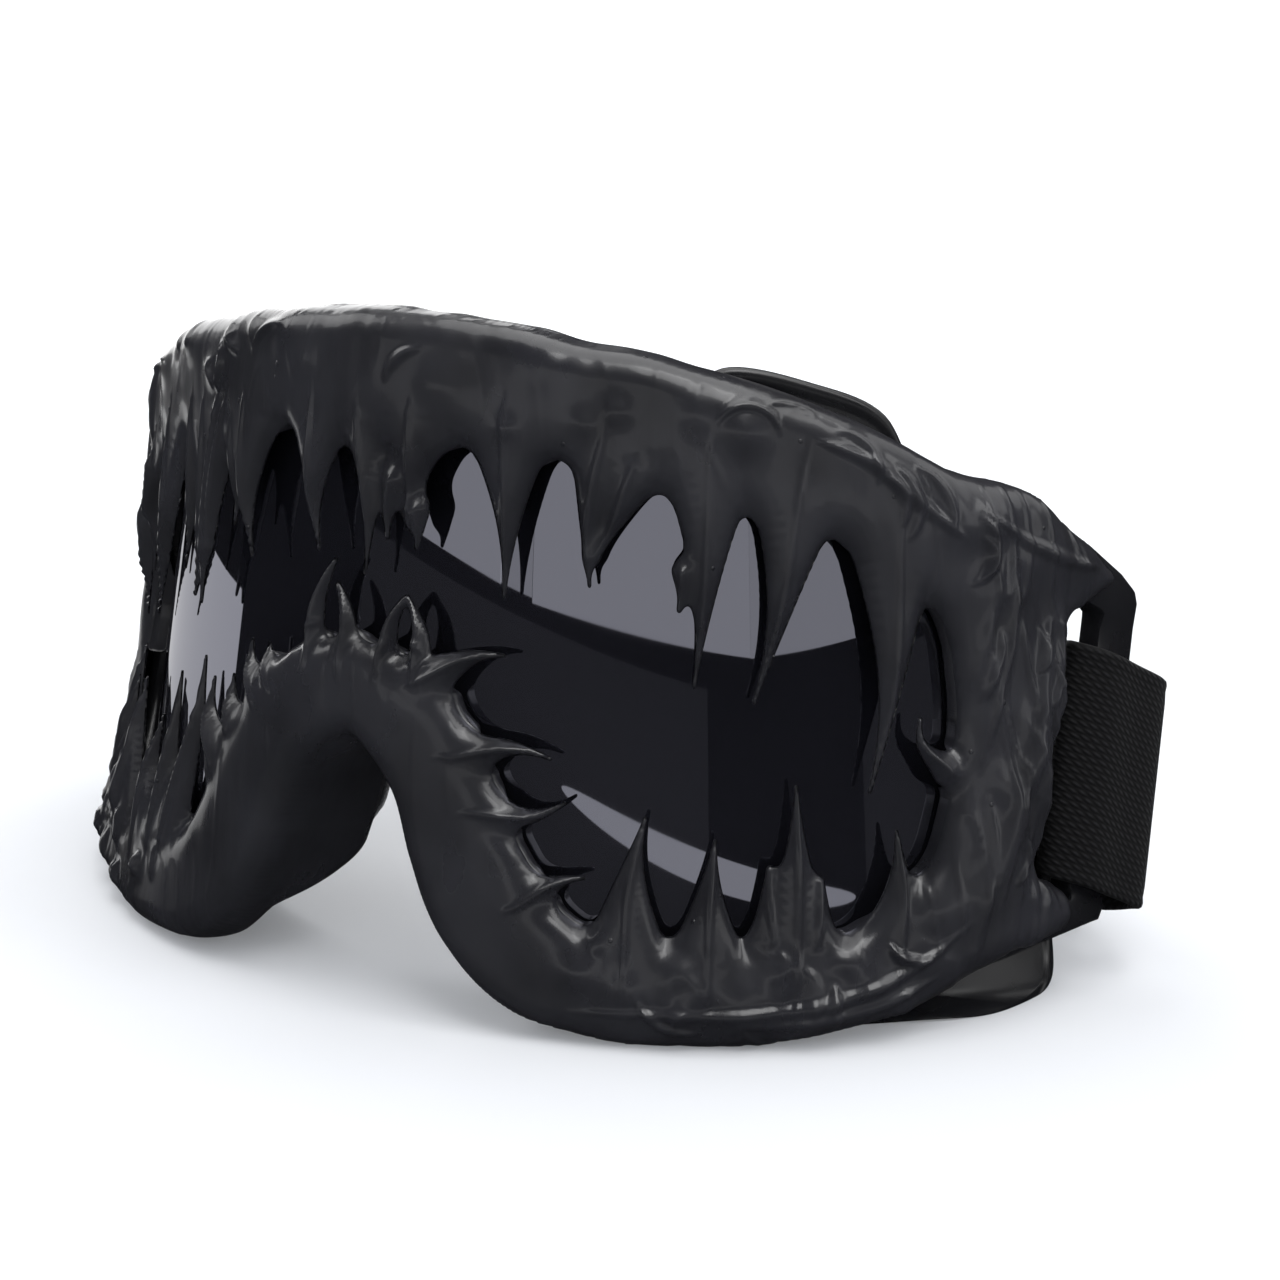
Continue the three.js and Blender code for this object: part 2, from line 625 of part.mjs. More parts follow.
function sliderGeometry() {
  const layers = REAR_RUN - TAIL_RUN + STRAP_THICKNESS;
  const inner = { depth: layers + 2 * SLIDER_CLEARANCE, height: STRAP_WIDTH + 2 * SLIDER_CLEARANCE };
  const outer = { depth: inner.depth + 2 * SLIDER_PLATE, height: inner.height + 5 };
  const box = (length, depth, height, x, y) => {
    const [a, b, c] = [length / 2, depth / 2, height / 2];
    const end = (sign) => [[-b, -c], [b, -c], [b, c], [-b, c]]
      .map(([dy, dz]) => new THREE.Vector3(x + sign * a, y + dy, dz));
    return toSolid(skin([end(-1), end(1)], false));
  };
  const tunnel = box(SLIDER_LENGTH + 2, inner.depth, inner.height, 0, 0);
  const frontWindow = box(SLIDER_LENGTH - 2 * SLIDER_BAR, 6, inner.height, 0, -outer.depth / 2);
  const slot = (SLIDER_LENGTH - 3 * SLIDER_BAR) / 2;
  const backSlot = (x) => box(slot, 6, inner.height, x, outer.depth / 2);
  const offset = (SLIDER_BAR + slot) / 2;
  const body = box(SLIDER_LENGTH, outer.depth, outer.height, 0, 0)
    .subtract(tunnel).subtract(frontWindow).subtract(backSlot(offset)).subtract(backSlot(-offset));
  return fromSolid(body);
}

[['strap_slider_left', 1, LOW], ['strap_slider_right', -1, HIGH]].forEach(([name, side, lower]) => {
  const slider = addPiece(goggles, name, sliderGeometry(), satinBlack);
  slider.position.set(side * SLIDER_X, (REAR_RUN + TAIL_RUN) / 2, lower + STRAP_WIDTH / 2);
});

export default goggles;
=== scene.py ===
"""The looks of a pair of motorcycle goggles with a poured rubber coat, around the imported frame.

Lengths are millimetres until a mesh is made. The front is drawn on a developed surface, as in the
CAD part: s runs sideways along the front from the middle, z is the height and d is the depth
behind the front surface. +X is the wearer's left, and the wearer looks along -Y.
"""

import math

import bmesh
import bpy
import numpy as np
from mathutils import Matrix, Vector
from mathutils.kdtree import KDTree


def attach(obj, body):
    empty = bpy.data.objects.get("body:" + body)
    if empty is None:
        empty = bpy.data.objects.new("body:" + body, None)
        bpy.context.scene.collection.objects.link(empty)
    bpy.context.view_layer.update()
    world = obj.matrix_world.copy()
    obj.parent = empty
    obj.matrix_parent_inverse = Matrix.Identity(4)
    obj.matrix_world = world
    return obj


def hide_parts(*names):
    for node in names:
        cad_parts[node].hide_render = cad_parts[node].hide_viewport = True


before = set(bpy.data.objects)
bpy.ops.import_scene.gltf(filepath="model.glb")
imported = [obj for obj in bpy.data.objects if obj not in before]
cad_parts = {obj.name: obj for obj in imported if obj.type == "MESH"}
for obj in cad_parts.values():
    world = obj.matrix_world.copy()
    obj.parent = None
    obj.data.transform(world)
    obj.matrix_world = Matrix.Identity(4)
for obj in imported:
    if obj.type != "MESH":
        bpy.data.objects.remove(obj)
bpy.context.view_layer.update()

MM = 0.001
BODY = "goggles"

# Front surface in plan, lean and place, as in the CAD part
FRONT_RADIUS = 97.0
FRONT_WRAP = math.radians(54)
TEMPLE_RADIUS = 45.7
ARM_WRAP = math.radians(74)
FLARE = 0.10 / 93
FLARE_HEIGHT = 25.5
LEAN = math.radians(7)
PLACE_Y = -55.91
PLACE_Z = 1.33
FRONT_ARC = FRONT_RADIUS * FRONT_WRAP
ARM_ARC = FRONT_ARC + TEMPLE_RADIUS * (ARM_WRAP - FRONT_WRAP)

# Depths of the layers behind the front surface
RIM_THICKNESS = 3.0
WALL_DEPTH = 7.3
FLANGE_DEPTH = 7.9
FLANGE_THICKNESS = 1.8
GAP = 0.3
LENS_DEPTHS = (3.3, 4.5)
GASKET_DEPTHS = (4.8, 6.2)
INNER_LENS_DEPTHS = (6.5, 7.5)
LEDGE_DEPTH = 7.8
LEDGE_BACK = FLANGE_DEPTH + FLANGE_THICKNESS
LENS_OVERLAP = 4.5
OUTER_WALL = 2.2
FACE_WALL_START = 2.6
FACE_WALL_END = 4.6
VENT_FOAM_END = 7.4
VENT_DEPTHS = (4.0, 6.6)
VENT_HALF_LENGTH = 6.5
BROW_VENTS = (-38, -19, 0, 19, 38)
CHEEK_VENTS = (-62, -46, 46, 62)
BEAD = 2.4                         # width of the bead along the flange's edge

# Stations round the rim
FRAME_STATIONS = 420
PANE_STATIONS = 600
FOAM_STATIONS = 300

# Half outlines from the top centre round the wearer's left side to the nose arch. Each row:
# outer edge (s, z), lens opening (s, z), edge of the face flange (s, z, d).
HALF_ROWS = (
    ((0, 100.4), (0, 84.5), (0, 97.4, 8.3)),
    ((21, 99.4), (18, 84.2), (22, 96.4, 8.3)),
    ((38, 97.6), (33.5, 83.2), (40, 94.4, 8.3)),
    ((49.5, 96), (45, 81.8), (50, 93.6, 8.3)),
    ((59, 94.3), (54, 80.2), (57, 96.8, 8.3)),
    ((71.5, 91.1), (65.5, 78.1), (71, 95.6, 8.3)),
    ((83, 87.1), (76, 75), (84, 91.8, 8.3)),
    ((94, 82.4), (85, 70.3), (91, 82.4, 8.4)),
    ((103.5, 76), (91, 63.7), (107, 75, 8.6)),
    ((108.5, 65.6), (94, 55.2), (118, 64.5, 8.6)),
    ((109.5, 50), (94.3, 45.7), (117, 52, 8.6)),
    ((108, 36), (93, 36.8), (116.5, 38, 8.6)),
    ((104.3, 24.3), (90.3, 28.9), (120.4, 24.4, 8.6)),
    ((97, 14.2), (84.8, 21.4), (122.7, 13.6, 8)),
    ((87, 8.4), (77.6, 17.2), (119.6, 7.7, 5.6)),
    ((76.5, 4.9), (69, 14.8), (108, 5.2, 3.6)),
    ((65.5, 2.3), (60, 13.4), (92, 4.3, 5)),
    ((54, 1), (50, 13), (75, 2.4, 7.8)),
    ((41.7, 1.2), (42, 14.3), (56.4, 1.5, 8.4)),
    ((30, 3.2), (34.6, 18.2), (31, 3.4, 8.3)),
    ((19.5, 11.2), (28.2, 27), (20.2, 11.6, 8.3)),
    ((13, 23), (22.3, 38), (13.6, 23, 8.3)),
    ((9, 33), (17, 46), (9.5, 32.8, 8.3)),
    ((0, 39.7), (0, 52.5), (0, 39.2, 8.3)),
)


# ---------------- surface and outlines

def surface(s, z, d):
    """Points in the row frame, in millimetres, of developed coordinates (numbers or arrays)."""
    s, z, d = np.broadcast_arrays(np.asarray(s, float), np.asarray(z, float), np.asarray(d, float))
    side = np.where(s < 0, -1.0, 1.0)
    arc = np.abs(s)
    on_temple = FRONT_WRAP + (arc - FRONT_ARC) / TEMPLE_RADIUS
    wrap = np.where(arc > FRONT_ARC, np.minimum(on_temple, ARM_WRAP), arc / FRONT_RADIUS)
    front = np.minimum(wrap, FRONT_WRAP)
    turned = np.maximum(wrap, FRONT_WRAP)
    straight = np.maximum(arc - ARM_ARC, 0)
    x = FRONT_RADIUS * np.sin(front) + TEMPLE_RADIUS * (np.sin(turned) - math.sin(FRONT_WRAP))
    y = FRONT_RADIUS * (1 - np.cos(front)) + TEMPLE_RADIUS * (math.cos(FRONT_WRAP) - np.cos(turned))
    x = side * (x + straight * np.cos(turned) - d * np.sin(wrap)) * (1 + FLARE * (FLARE_HEIGHT - z))
    y = y + straight * np.sin(turned) + d * np.cos(wrap)
    lean_y = y * math.cos(LEAN) + z * math.sin(LEAN) + PLACE_Y
    lean_z = z * math.cos(LEAN) - y * math.sin(LEAN) + PLACE_Z
    return np.stack([x, lean_y, lean_z], -1)


def catmull(points, t, closed):
    """Centripetal Catmull-Rom curve through the points, at the shares t of its length in points."""
    points = np.asarray(points, float)
    count = len(points)
    t = np.asarray(t, float)
    if closed:
        place = (t % 1.0) * count
        first = np.floor(place).astype(int)
        p0, p1, p2, p3 = (points[(first + k) % count] for k in (-1, 0, 1, 2))
    else:
        place = t * (count - 1)
        first = np.clip(np.floor(place).astype(int), 0, count - 2)
        padded = np.vstack([2 * points[0] - points[1], points, 2 * points[-1] - points[-2]])
        p0, p1, p2, p3 = (padded[first + k] for k in (0, 1, 2, 3))
    share = (place - first)[:, None]
    gaps = [np.maximum(np.linalg.norm(b - a, axis=1), 1e-6)[:, None] ** 0.5
            for a, b in ((p0, p1), (p1, p2), (p2, p3))]
    start = ((p1 - p0) / gaps[0] - (p2 - p0) / (gaps[0] + gaps[1]) + (p2 - p1) / gaps[1]) * gaps[1]
    end = ((p2 - p1) / gaps[1] - (p3 - p1) / (gaps[1] + gaps[2]) + (p3 - p2) / gaps[2]) * gaps[1]
    return (p1 + start * share + (-3 * p1 + 3 * p2 - 2 * start - end) * share ** 2
            + (2 * p1 - 2 * p2 + start + end) * share ** 3)


def closed_outline(column, count):
    """Points (s, z, d) round the whole goggles of one column of the half outlines."""
    right = [np.array((*row[column], 0.0)[:3], float) for row in HALF_ROWS]
    left = [p * (-1, 1, 1) for p in reversed(right[1:-1])]
    return catmull(right + left, np.arange(count) / count, True)


class Rim:
    """Stations round the rim. at() goes inwards from the outer edge, flange() out to its edge."""

    def __init__(self, count):
        self.outer = closed_outline(0, count)
        self.opening = closed_outline(1, count)
        self.edge = closed_outline(2, count)
        across = self.opening[:, :2] - self.outer[:, :2]
        self.width = np.linalg.norm(across, axis=1)
        self.inward = across / self.width[:, None]
        self.root = self.outer[:, :2] + self.inward * FACE_WALL_START
        self.reach = np.linalg.norm(self.edge[:, :2] - self.root, axis=1)

    def at(self, inset, depth):
        place = self.outer[:, :2] + self.inward * np.broadcast_to(inset, self.width.shape)[:, None]
        return surface(place[:, 0], place[:, 1], depth)

    def flange(self, share, depth):
        share = np.broadcast_to(share, self.reach.shape)[:, None]
        place = self.root + (self.edge[:, :2] - self.root) * share
        return surface(place[:, 0], place[:, 1], depth)

    def nose_share(self):
        """1 along the nose arch and 0 elsewhere."""
        near = np.clip((30 - np.abs(self.opening[:, 0])) / 8, 0, 1)
        return np.where(self.opening[:, 1] > 60, 0, near)


# ---------------- mesh helpers

def placed(name, data):
    """A new object in the scene."""
    thing = bpy.data.objects.new(name, data)
    bpy.context.scene.collection.objects.link(thing)
    return thing


def new_piece(name, points, faces, slot, node=None):
    """A smooth piece from millimetre points, with its slot's look, that rides on the goggles."""
    mesh = bpy.data.meshes.new(name)
    points = np.array(points)
    points[:, 2] = np.maximum(points[:, 2], 0.0)
    mesh.from_pydata((points * MM).tolist(), [], [list(map(int, f)) for f in faces])
    mesh.validate()
    mesh.materials.append(LOOKS[slot])
    mesh.polygons.foreach_set("use_smooth", [True] * len(mesh.polygons))
    face_outwards(mesh)
    piece = placed(name, mesh)
    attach(piece, BODY)
    if node:
        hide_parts(node)
    return piece


def face_outwards(mesh):
    """Turns the faces round where the mesh encloses a negative volume."""
    copy = bmesh.new()
    copy.from_mesh(mesh)
    if copy.calc_volume(signed=True) < 0:
        mesh.flip_normals()
    copy.free()


def skin(rows, closed):
    """Points and quads of a skin over rows of equal sections (rows x across x 3)."""
    count, across = rows.shape[:2]
    row = np.arange(count if closed else count - 1)[:, None]
    corner = np.arange(across)[None, :]
    here, along = row * across, (row + 1) % count * across
    beside = (corner + 1) % across
    quads = np.stack([here + corner, here + beside, along + beside, along + corner], -1)
    faces = quads.reshape(-1, 4).tolist()
    if not closed:
        faces.append(list(range(across))[::-1])
        faces.append(list(range((count - 1) * across, count * across)))
    return rows.reshape(-1, 3), faces


def ring_piece(name, columns, slot, node):
    points, faces = skin(np.stack(columns, 1), True)
    return new_piece(name, points, faces, slot, node)


def auto_smooth(piece, degrees):
    """Sharp edges stay sharp, the rest is smooth."""
    piece.data.set_sharp_from_angle(angle=math.radians(degrees))


def apply_modifiers(piece):
    bpy.context.view_layer.update()
    evaluated = piece.evaluated_get(bpy.context.evaluated_depsgraph_get())
    mesh = bpy.data.meshes.new_from_object(evaluated)
    piece.modifiers.clear()
    old = piece.data
    piece.data = mesh
    bpy.data.meshes.remove(old)


def value_noise(points, cell, seed):
    """Smooth random field from -1 to 1 at (N, k) points; cell is its grain, one value per axis."""
    points = np.asarray(points, float) / np.asarray(cell, float)
    points = np.hstack([points, np.zeros((len(points), 3 - points.shape[1]))])
    table = np.random.default_rng(seed).uniform(-1, 1, 4096)
    whole = np.floor(points).astype(np.int64)
    share = points - whole
    share = share * share * (3 - 2 * share)
    total = np.zeros(len(points))
    for corner in range(8):
        bits = np.array([corner & 1, corner >> 1 & 1, corner >> 2 & 1])
        cell_key = (whole + bits) * np.array([73856093, 19349663, 83492791])
        value = table[(cell_key[:, 0] ^ cell_key[:, 1] ^ cell_key[:, 2]) & 4095]
        total += value * np.prod(np.where(bits, share, 1 - share), axis=1)
    return total


def smoothstep(value, start, end):
    share = np.clip((value - start) / (end - start), 0, 1)
    return share * share * (3 - 2 * share)


def upper_right(place):
    """1 at the wearer's upper right corner, which is rounder, and 0 elsewhere."""
    return smoothstep(-place[:, 0], 50, 92) * smoothstep(place[:, 1], 35, 78)


# ---------------- materials

def principled(material):
    return material.node_tree.nodes["Principled BSDF"]


def connect(material, output, target):
    material.node_tree.links.new(output, target)


def plain_look(name, color, roughness, **sockets):
    material = bpy.data.materials.new(name)
    material.use_nodes = True
    inputs = principled(material).inputs
    inputs["Base Color"].default_value = (*color, 1)
    inputs["Roughness"].default_value = roughness
    for socket, value in sockets.items():
        inputs[socket.replace("_", " ")].default_value = value
    return material


def add_node(material, kind, **settings):
    node = material.node_tree.nodes.new(kind)
    for key, value in settings.items():
        if key in node.inputs:
            node.inputs[key].default_value = value
        else:
            setattr(node, key, value)
    return node


def place_texture(material, texture, stretch=(1, 1, 1), output="Object"):
    """Feeds a texture with stretched coordinates, in metres."""
    coordinates = add_node(material, "ShaderNodeTexCoord")
    mapping = add_node(material, "ShaderNodeMapping", Scale=stretch)
    connect(material, coordinates.outputs[output], mapping.inputs["Vector"])
    connect(material, mapping.outputs["Vector"], texture.inputs["Vector"])
    return texture


def noise(material, grain, detail=3, stretch=(1, 1, 1)):
    texture = add_node(material, "ShaderNodeTexNoise", Scale=1 / (grain * MM), Detail=detail)
    return place_texture(material, texture, stretch)


def cells(material, size):
    texture = add_node(material, "ShaderNodeTexVoronoi", feature="F1", Scale=1 / (size * MM))
    return place_texture(material, texture)


def map_range(material, output, source, result):
    """Takes an output's value from the source range to the result range."""
    node = add_node(material, "ShaderNodeMapRange")
    for socket, value in zip(("From Min", "From Max", "To Min", "To Max"), (*source, *result)):
        node.inputs[socket].default_value = value
    connect(material, output, node.inputs["Value"])
    return node


def tint(material, texture, dark, light, low=0.35, high=0.65):
    """Base colour between two tones, where the texture goes from low to high."""
    ramp = add_node(material, "ShaderNodeValToRGB")
    for element, position, color in zip(ramp.color_ramp.elements, (low, high), (dark, light)):
        element.position = position
        element.color = (*color, 1)
    connect(material, texture.outputs[0], ramp.inputs["Fac"])
    connect(material, ramp.outputs["Color"], principled(material).inputs["Base Color"])


def vary_roughness(material, texture, low, high):
    spread = map_range(material, texture.outputs[0], (0.3, 0.7), (low, high))
    connect(material, spread.outputs["Result"], principled(material).inputs["Roughness"])


def relief(material, texture, height, strength):
    """Bump from a texture, on top of the bumps that the material has already."""
    normal = principled(material).inputs["Normal"]
    bump = add_node(material, "ShaderNodeBump", Strength=strength, Distance=height * MM)
    connect(material, texture.outputs[0], bump.inputs["Height"])
    if normal.is_linked:
        connect(material, normal.links[0].from_socket, bump.inputs["Normal"])
    connect(material, bump.outputs["Normal"], normal)


def coat_look():
    """Satin rubber with a thin wet skin, fine wrinkles and a few specks."""
    material = plain_look("coat_rubber", (0.010, 0.010, 0.012), 0.32, IOR=1.46,
                          Coat_Weight=0.5, Coat_Roughness=0.10, Coat_IOR=1.35)
    tint(material, noise(material, 14), (0.0115, 0.0115, 0.0138), (0.0170, 0.0170, 0.0205))
    vary_roughness(material, noise(material, 9, detail=5, stretch=(1, 1, 0.5)), 0.24, 0.40)
    relief(material, noise(material, 1.8, detail=4, stretch=(1, 1, 0.3)), 0.12, 0.4)
    specks = map_range(material, cells(material, 7.0).outputs["Distance"], (0.03, 0.055), (1, 0))
    relief(material, specks, 0.25, 0.8)
    return material


def moulded_look(name, color, low, high):
    material = plain_look(name, color, 0.4, IOR=1.5)
    brighter = tuple(1.35 * c for c in color)
    tint(material, noise(material, 20), color, brighter)
    vary_roughness(material, noise(material, 11, detail=5), low, high)
    relief(material, noise(material, 0.45, detail=2), 0.02, 0.5)
    return material


def smoked_lens_look():
    """Dark pane; its high index gives the mirror finish."""
    material = plain_look("lens_smoke", (0.0035, 0.0035, 0.005), 0.02, IOR=3.1,
                          Specular_Tint=(0.84, 0.85, 1.0, 1))
    tint(material, noise(material, 45, detail=1), (0.0025, 0.0025, 0.0035), (0.0045, 0.0045, 0.006))
    vary_roughness(material, noise(material, 25), 0.008, 0.02)
    return material


def clear_lens_look():
    material = plain_look("lens_clear", (0.02, 0.021, 0.024), 0.08, IOR=1.58)
    tint(material, noise(material, 40, detail=1), (0.016, 0.017, 0.02), (0.026, 0.027, 0.031))
    vary_roughness(material, noise(material, 30), 0.05, 0.12)
    return material


def foam_look(dark, light, pore):
    material = plain_look("foam", dark, 0.95, Sheen_Weight=0.2)
    # Darker in the pits of the pore bumps: painted shade in the pores
    tint(material, cells(material, pore), dark, light, 0.1, 0.6)
    relief(material, cells(material, pore), 0.35, 0.9)
    relief(material, noise(material, 4), 0.3, 0.5)
    return material


def fleece_look():
    material = plain_look("fleece", (0.012, 0.012, 0.014), 1.0, Sheen_Weight=0.7, Sheen_Roughness=0.5)
    tint(material, noise(material, 1.2, detail=6), (0.008, 0.008, 0.01), (0.026, 0.026, 0.03))
    relief(material, noise(material, 0.5, detail=6), 0.35, 0.9)
    relief(material, noise(material, 5), 0.5, 0.5)
    return material


def stitch_wave(material, direction, scale, distortion):
    wave = add_node(material, "ShaderNodeTexWave", wave_type="BANDS", bands_direction=direction,
                    Scale=scale / MM, Distortion=distortion)
    return place_texture(material, wave, output="UV").outputs["Fac"]


def elastic_look():
    """Woven elastic: small slanting stitches in rows along the strap."""
    material = plain_look("strap_elastic", (0.006, 0.006, 0.007), 0.8, Sheen_Weight=0.02,
                          Specular_IOR_Level=0.25)
    stitches = add_node(material, "ShaderNodeMath", operation="MULTIPLY")
    connect(material, stitch_wave(material, "Y", 0.314, 0.0), stitches.inputs[0])
    connect(material, stitch_wave(material, "DIAGONAL", 0.628 / 1.5, 0.5), stitches.inputs[1])
    # Darker where the stitch bumps are low: painted shade between the stitches
    tint(material, stitches, (0.0012, 0.0012, 0.0016), (0.0054, 0.0054, 0.0066), 0.2, 0.9)
    relief(material, stitches, 0.16, 0.9)
    return material


# One look for each material slot
LOOKS = {
    "coat_rubber": coat_look(),
    "frame_plastic": moulded_look("frame_plastic", (0.006, 0.006, 0.007), 0.20, 0.32),
    "slider_plastic": moulded_look("slider_plastic", (0.014, 0.014, 0.016), 0.32, 0.46),
    "lens_smoke": smoked_lens_look(),
    "lens_clear": clear_lens_look(),
    "foam": foam_look((0.014, 0.014, 0.016), (0.045, 0.045, 0.05), 0.9),
    "fleece": fleece_look(),
    "strap_elastic": elastic_look(),
    "grip_silicone": moulded_look("grip_silicone", (0.03, 0.03, 0.034), 0.25, 0.4),
}


# ---------------- poured coat

GRID = 0.38
GRID_CORNER = (-127, -5)
COAT_FRONT = 2.7
COAT_BACK = -0.4
COAT_EDGE = 1.1                    # how far the coat stands out from the frame's side wall
INNER_LIP = 0.9                    # how far it covers the edge of the lens opening
LIP_DEPTH = 2.6
SKIRT_ROWS = 9                     # rows that close the coat round its border

# Hanging points: root (s, z), tip (s, z), half-width at the root, sideways bow
UPPER_FANGS = (
    ((-92, 72), (-95, 50), 6.0, 1.0), ((-79, 76), (-84, 46), 6.8, 1.6),
    ((-66, 79), (-70, 55), 5.6, -1.2), ((-55, 82), (-60, 49), 6.6, 1.4),
    ((-44, 84), (-46.5, 58), 4.8, 1.0), ((-39, 84), (-41.2, 54.6), 4.6, 1.2),
    ((-34.5, 84), (-38.4, 53.7), 3.6, -0.8), ((-32, 84), (-36.9, 62.3), 2.8, -0.6),
    ((-25.6, 85), (-23.7, 62.5), 6.4, -1.2), ((-29.5, 82), (-29.4, 67), 2.6, 0.4),
    ((-9.5, 87), (-7.9, 65.2), 6.8, -1.0), ((0.0, 85), (1.5, 62.6), 3.8, 0.8),
    ((9.6, 87), (9.4, 71), 7.0, 0.3), ((6.5, 77), (5.4, 68.4), 2.4, -0.6),
    ((10.5, 73), (10.4, 67.4), 1.6, 0.3), ((24.8, 88), (25.3, 61.8), 7.4, 0.3),
    ((40.0, 88), (38.2, 64.6), 6.4, -1.2), ((44.0, 82), (38.8, 69.0), 4.4, 0.6),
    ((55.0, 85), (53.8, 51.8), 7.2, 0.6), ((51.5, 68), (51.2, 62.5), 1.2, 0.2),
    ((68.4, 84), (62.4, 50.2), 7.8, 1.0), ((83.0, 78), (79.7, 38.2), 8.0, 1.6),
)
LOWER_FANGS = (
    ((-91, 22), (-90, 40), 5.4, 0.8), ((-78, 15), (-80, 36), 6.4, 1.0),
    ((-65, 12), (-64, 38), 6.4, -1.0), ((-53, 11), (-50, 34), 6.2, 1.0),
    ((-46, 14), (-43.5, 42), 4.6, -0.8), ((-41, 16), (-35, 45.7), 4.6, -1.6),
    ((-27, 30), (-31.5, 43), 4.0, 1.8), ((-24, 36), (-26, 44.4), 2.4, 0.6),
    ((-17.5, 41), (-21.8, 50.3), 3.2, 1.0), ((-14, 43), (-17.4, 50.4), 2.6, 0.8),
    ((13, 48.5), (26.2, 53.8), 3.6, 1.2), ((19, 38.5), (33.6, 39.8), 3.4, 1.4),
    ((23, 31), (36, 33.8), 3.2, -1.4), ((29.5, 18), (39.4, 23.4), 3.2, 0.9),
    ((45.4, 9), (47.6, 33), 7.4, 0.9), ((57, 9), (57.6, 30.8), 7.0, 0.3),
    ((69.2, 9), (68.9, 39), 7.8, -0.3), ((66, 17), (65.3, 27.0), 2.4, 0.2),
    ((72, 17), (72.8, 25.5), 2.4, -0.2), ((84, 14), (84, 33.2), 6.2, -0.6),
    ((91.5, 42), (87.4, 49.4), 2.0, 1.6),
)
# Thin horns in pairs that lean together over a hole
HORNS = (
    ((-7.4, 48.5), (-4.2, 64.5), 1.9, 1.5), ((-0.6, 48.5), (-3.6, 61.0), 2.0, -1.3),
    ((6.4, 49), (9.4, 60.4), 2.0, 1.2), ((12.4, 49), (9.9, 59.8), 2.2, -1.1),
)
# Where the coat runs out over the arms: points (s, z) and radius
OVER_ARMS = (
    ((98, 73.5, 9.0), (110, 71.2, 7.4), (117, 70.4, 5.6), (124, 69.6, 2.0)),
    ((104, 73, 9.0), (107, 66, 8.6), (105.5, 57, 8.4), (103.5, 49, 6.0)),
    ((98, 22, 8.0), (106, 20.6, 5.6), (113, 20.3, 3.8)),
)

# Swellings (s, z), radius and height, and curls (s, z), radius, start and sweep in degrees
SWELLINGS = (
    (60, 88.3, 3.4, 1.3), (53, 90, 2.6, 0.5), (41.5, 89.6, 2.0, 0.6), (37, 87.5, 1.8, 0.5),
    (25.3, 86, 1.6, 0.5), (92, 77.5, 3.6, 1.1), (97.5, 77.5, 3.0, 1.2), (14, 91, 3, 0.5),
    (103, 73, 4.0, 0.8), (110, 72.5, 3.6, 0.8), (117, 71.5, 3.0, 0.7), (97, 69, 4.2, 0.5),
    (62, 7, 4, 0.9), (80, 11.5, 3.6, 1.1), (46, 8, 3, 0.8), (91, 22, 4, 0.9), (71, 5.5, 3.0, 0.8),
    (53, 12, 2.4, 0.8), (39, 10, 2.6, 0.8), (88, 15, 2.6, 0.9), (97, 24, 3, 0.8), (76, 15, 2.2, 0.7),
    (-12, 93, 3, 0.6), (-16, 97, 4, 0.7), (30, 95, 4, 0.4), (-100, 20, 4, 1.6), (-104, 33, 4, 1.5),
    (-102, 12, 3.4, 1.6), (-92, 9, 3, 1.4), (-84, 8, 2.6, 1.0), (-103, 54, 6, 0.5), (-98, 76, 4, 1.3),
    (100, 40, 3, 0.6), (-60, 90, 4, 0.9), (-75, 86, 4, 1.0), (-45, 93, 3.4, 0.8), (-107, 46, 3.4, 1.2),
)
CURLS = (
    (79, 79, 6.6, 70, -110), (79, 79, 4.6, 80, -110), (83, 78, 7.6, 75, -90), (92, 74, 5.4, 60, -130),
    (93.5, 73, 3.4, 60, -120), (60.4, 87.6, 4.6, 160, -150), (11, 90, 6, 170, -80), (-18, 92, 6, 160, -90),
    (86, 19, 4, 200, 110), (85, 18, 2.6, 190, 120), (54, 10, 7, 200, 90), (68, 9, 8, 210, 90),
    (10, 51, 3.6, 20, 200), (-5, 52, 3.2, 150, -190), (102, 60, 5, 40, -90), (99, 30, 5, 300, 90),
    (74, 84, 5.4, 100, -120), (66, 86, 7, 120, -70),
)
# Long ridges along the rim: points (s, z)
RIDGES = (
    ((38, 4.5), (50, 5.5), (62, 6.2), (74, 8.8), (85, 13.5), (95, 21)),
    ((60, 4.6), (70, 5.6), (80, 8.0), (90, 13)),
    ((70, 88), (79, 85), (86, 80), (93, 75)),
    ((96, 79), (104, 75), (112, 72.6), (120, 71.4)),
    ((-90, 84), (-80, 86), (-70, 89), (-58, 91)),
)
# Zones of short ridges: how many, s and z ranges, range of lengths, and breadth
FLOW_ZONES = (
    (26, 97, 112, 26, 66, 10, 26, 1.1), (40, -112, -60, 18, 92, 10, 32, 1.7),
    (26, -104, -40, 4, 16, 3, 7, 1.3), (10, 40, 96, 5, 17, 4, 9, 1.7),
    (7, -60, -20, 86, 98, 3, 8, 1.0),
)


def signed_distance(outline, grid):
    """Distance to a closed outline at (N, 2) points, positive inside."""
    tree = KDTree(len(outline))
    for index, (s, z) in enumerate(outline):
        tree.insert((s, z, 0), index)
    tree.balance()
    away = np.array([tree.find((s, z, 0))[2] for s, z in grid])
    inside = np.zeros(len(grid), bool)
    for (s0, z0), (s1, z1) in zip(outline, np.roll(outline, -1, axis=0)):
        if z0 != z1:
            crosses = (grid[:, 1] > z0) != (grid[:, 1] > z1)
            inside ^= crosses & (grid[:, 0] < s0 + (s1 - s0) * (grid[:, 1] - z0) / (z1 - z0))
    return np.where(inside, away, -away)


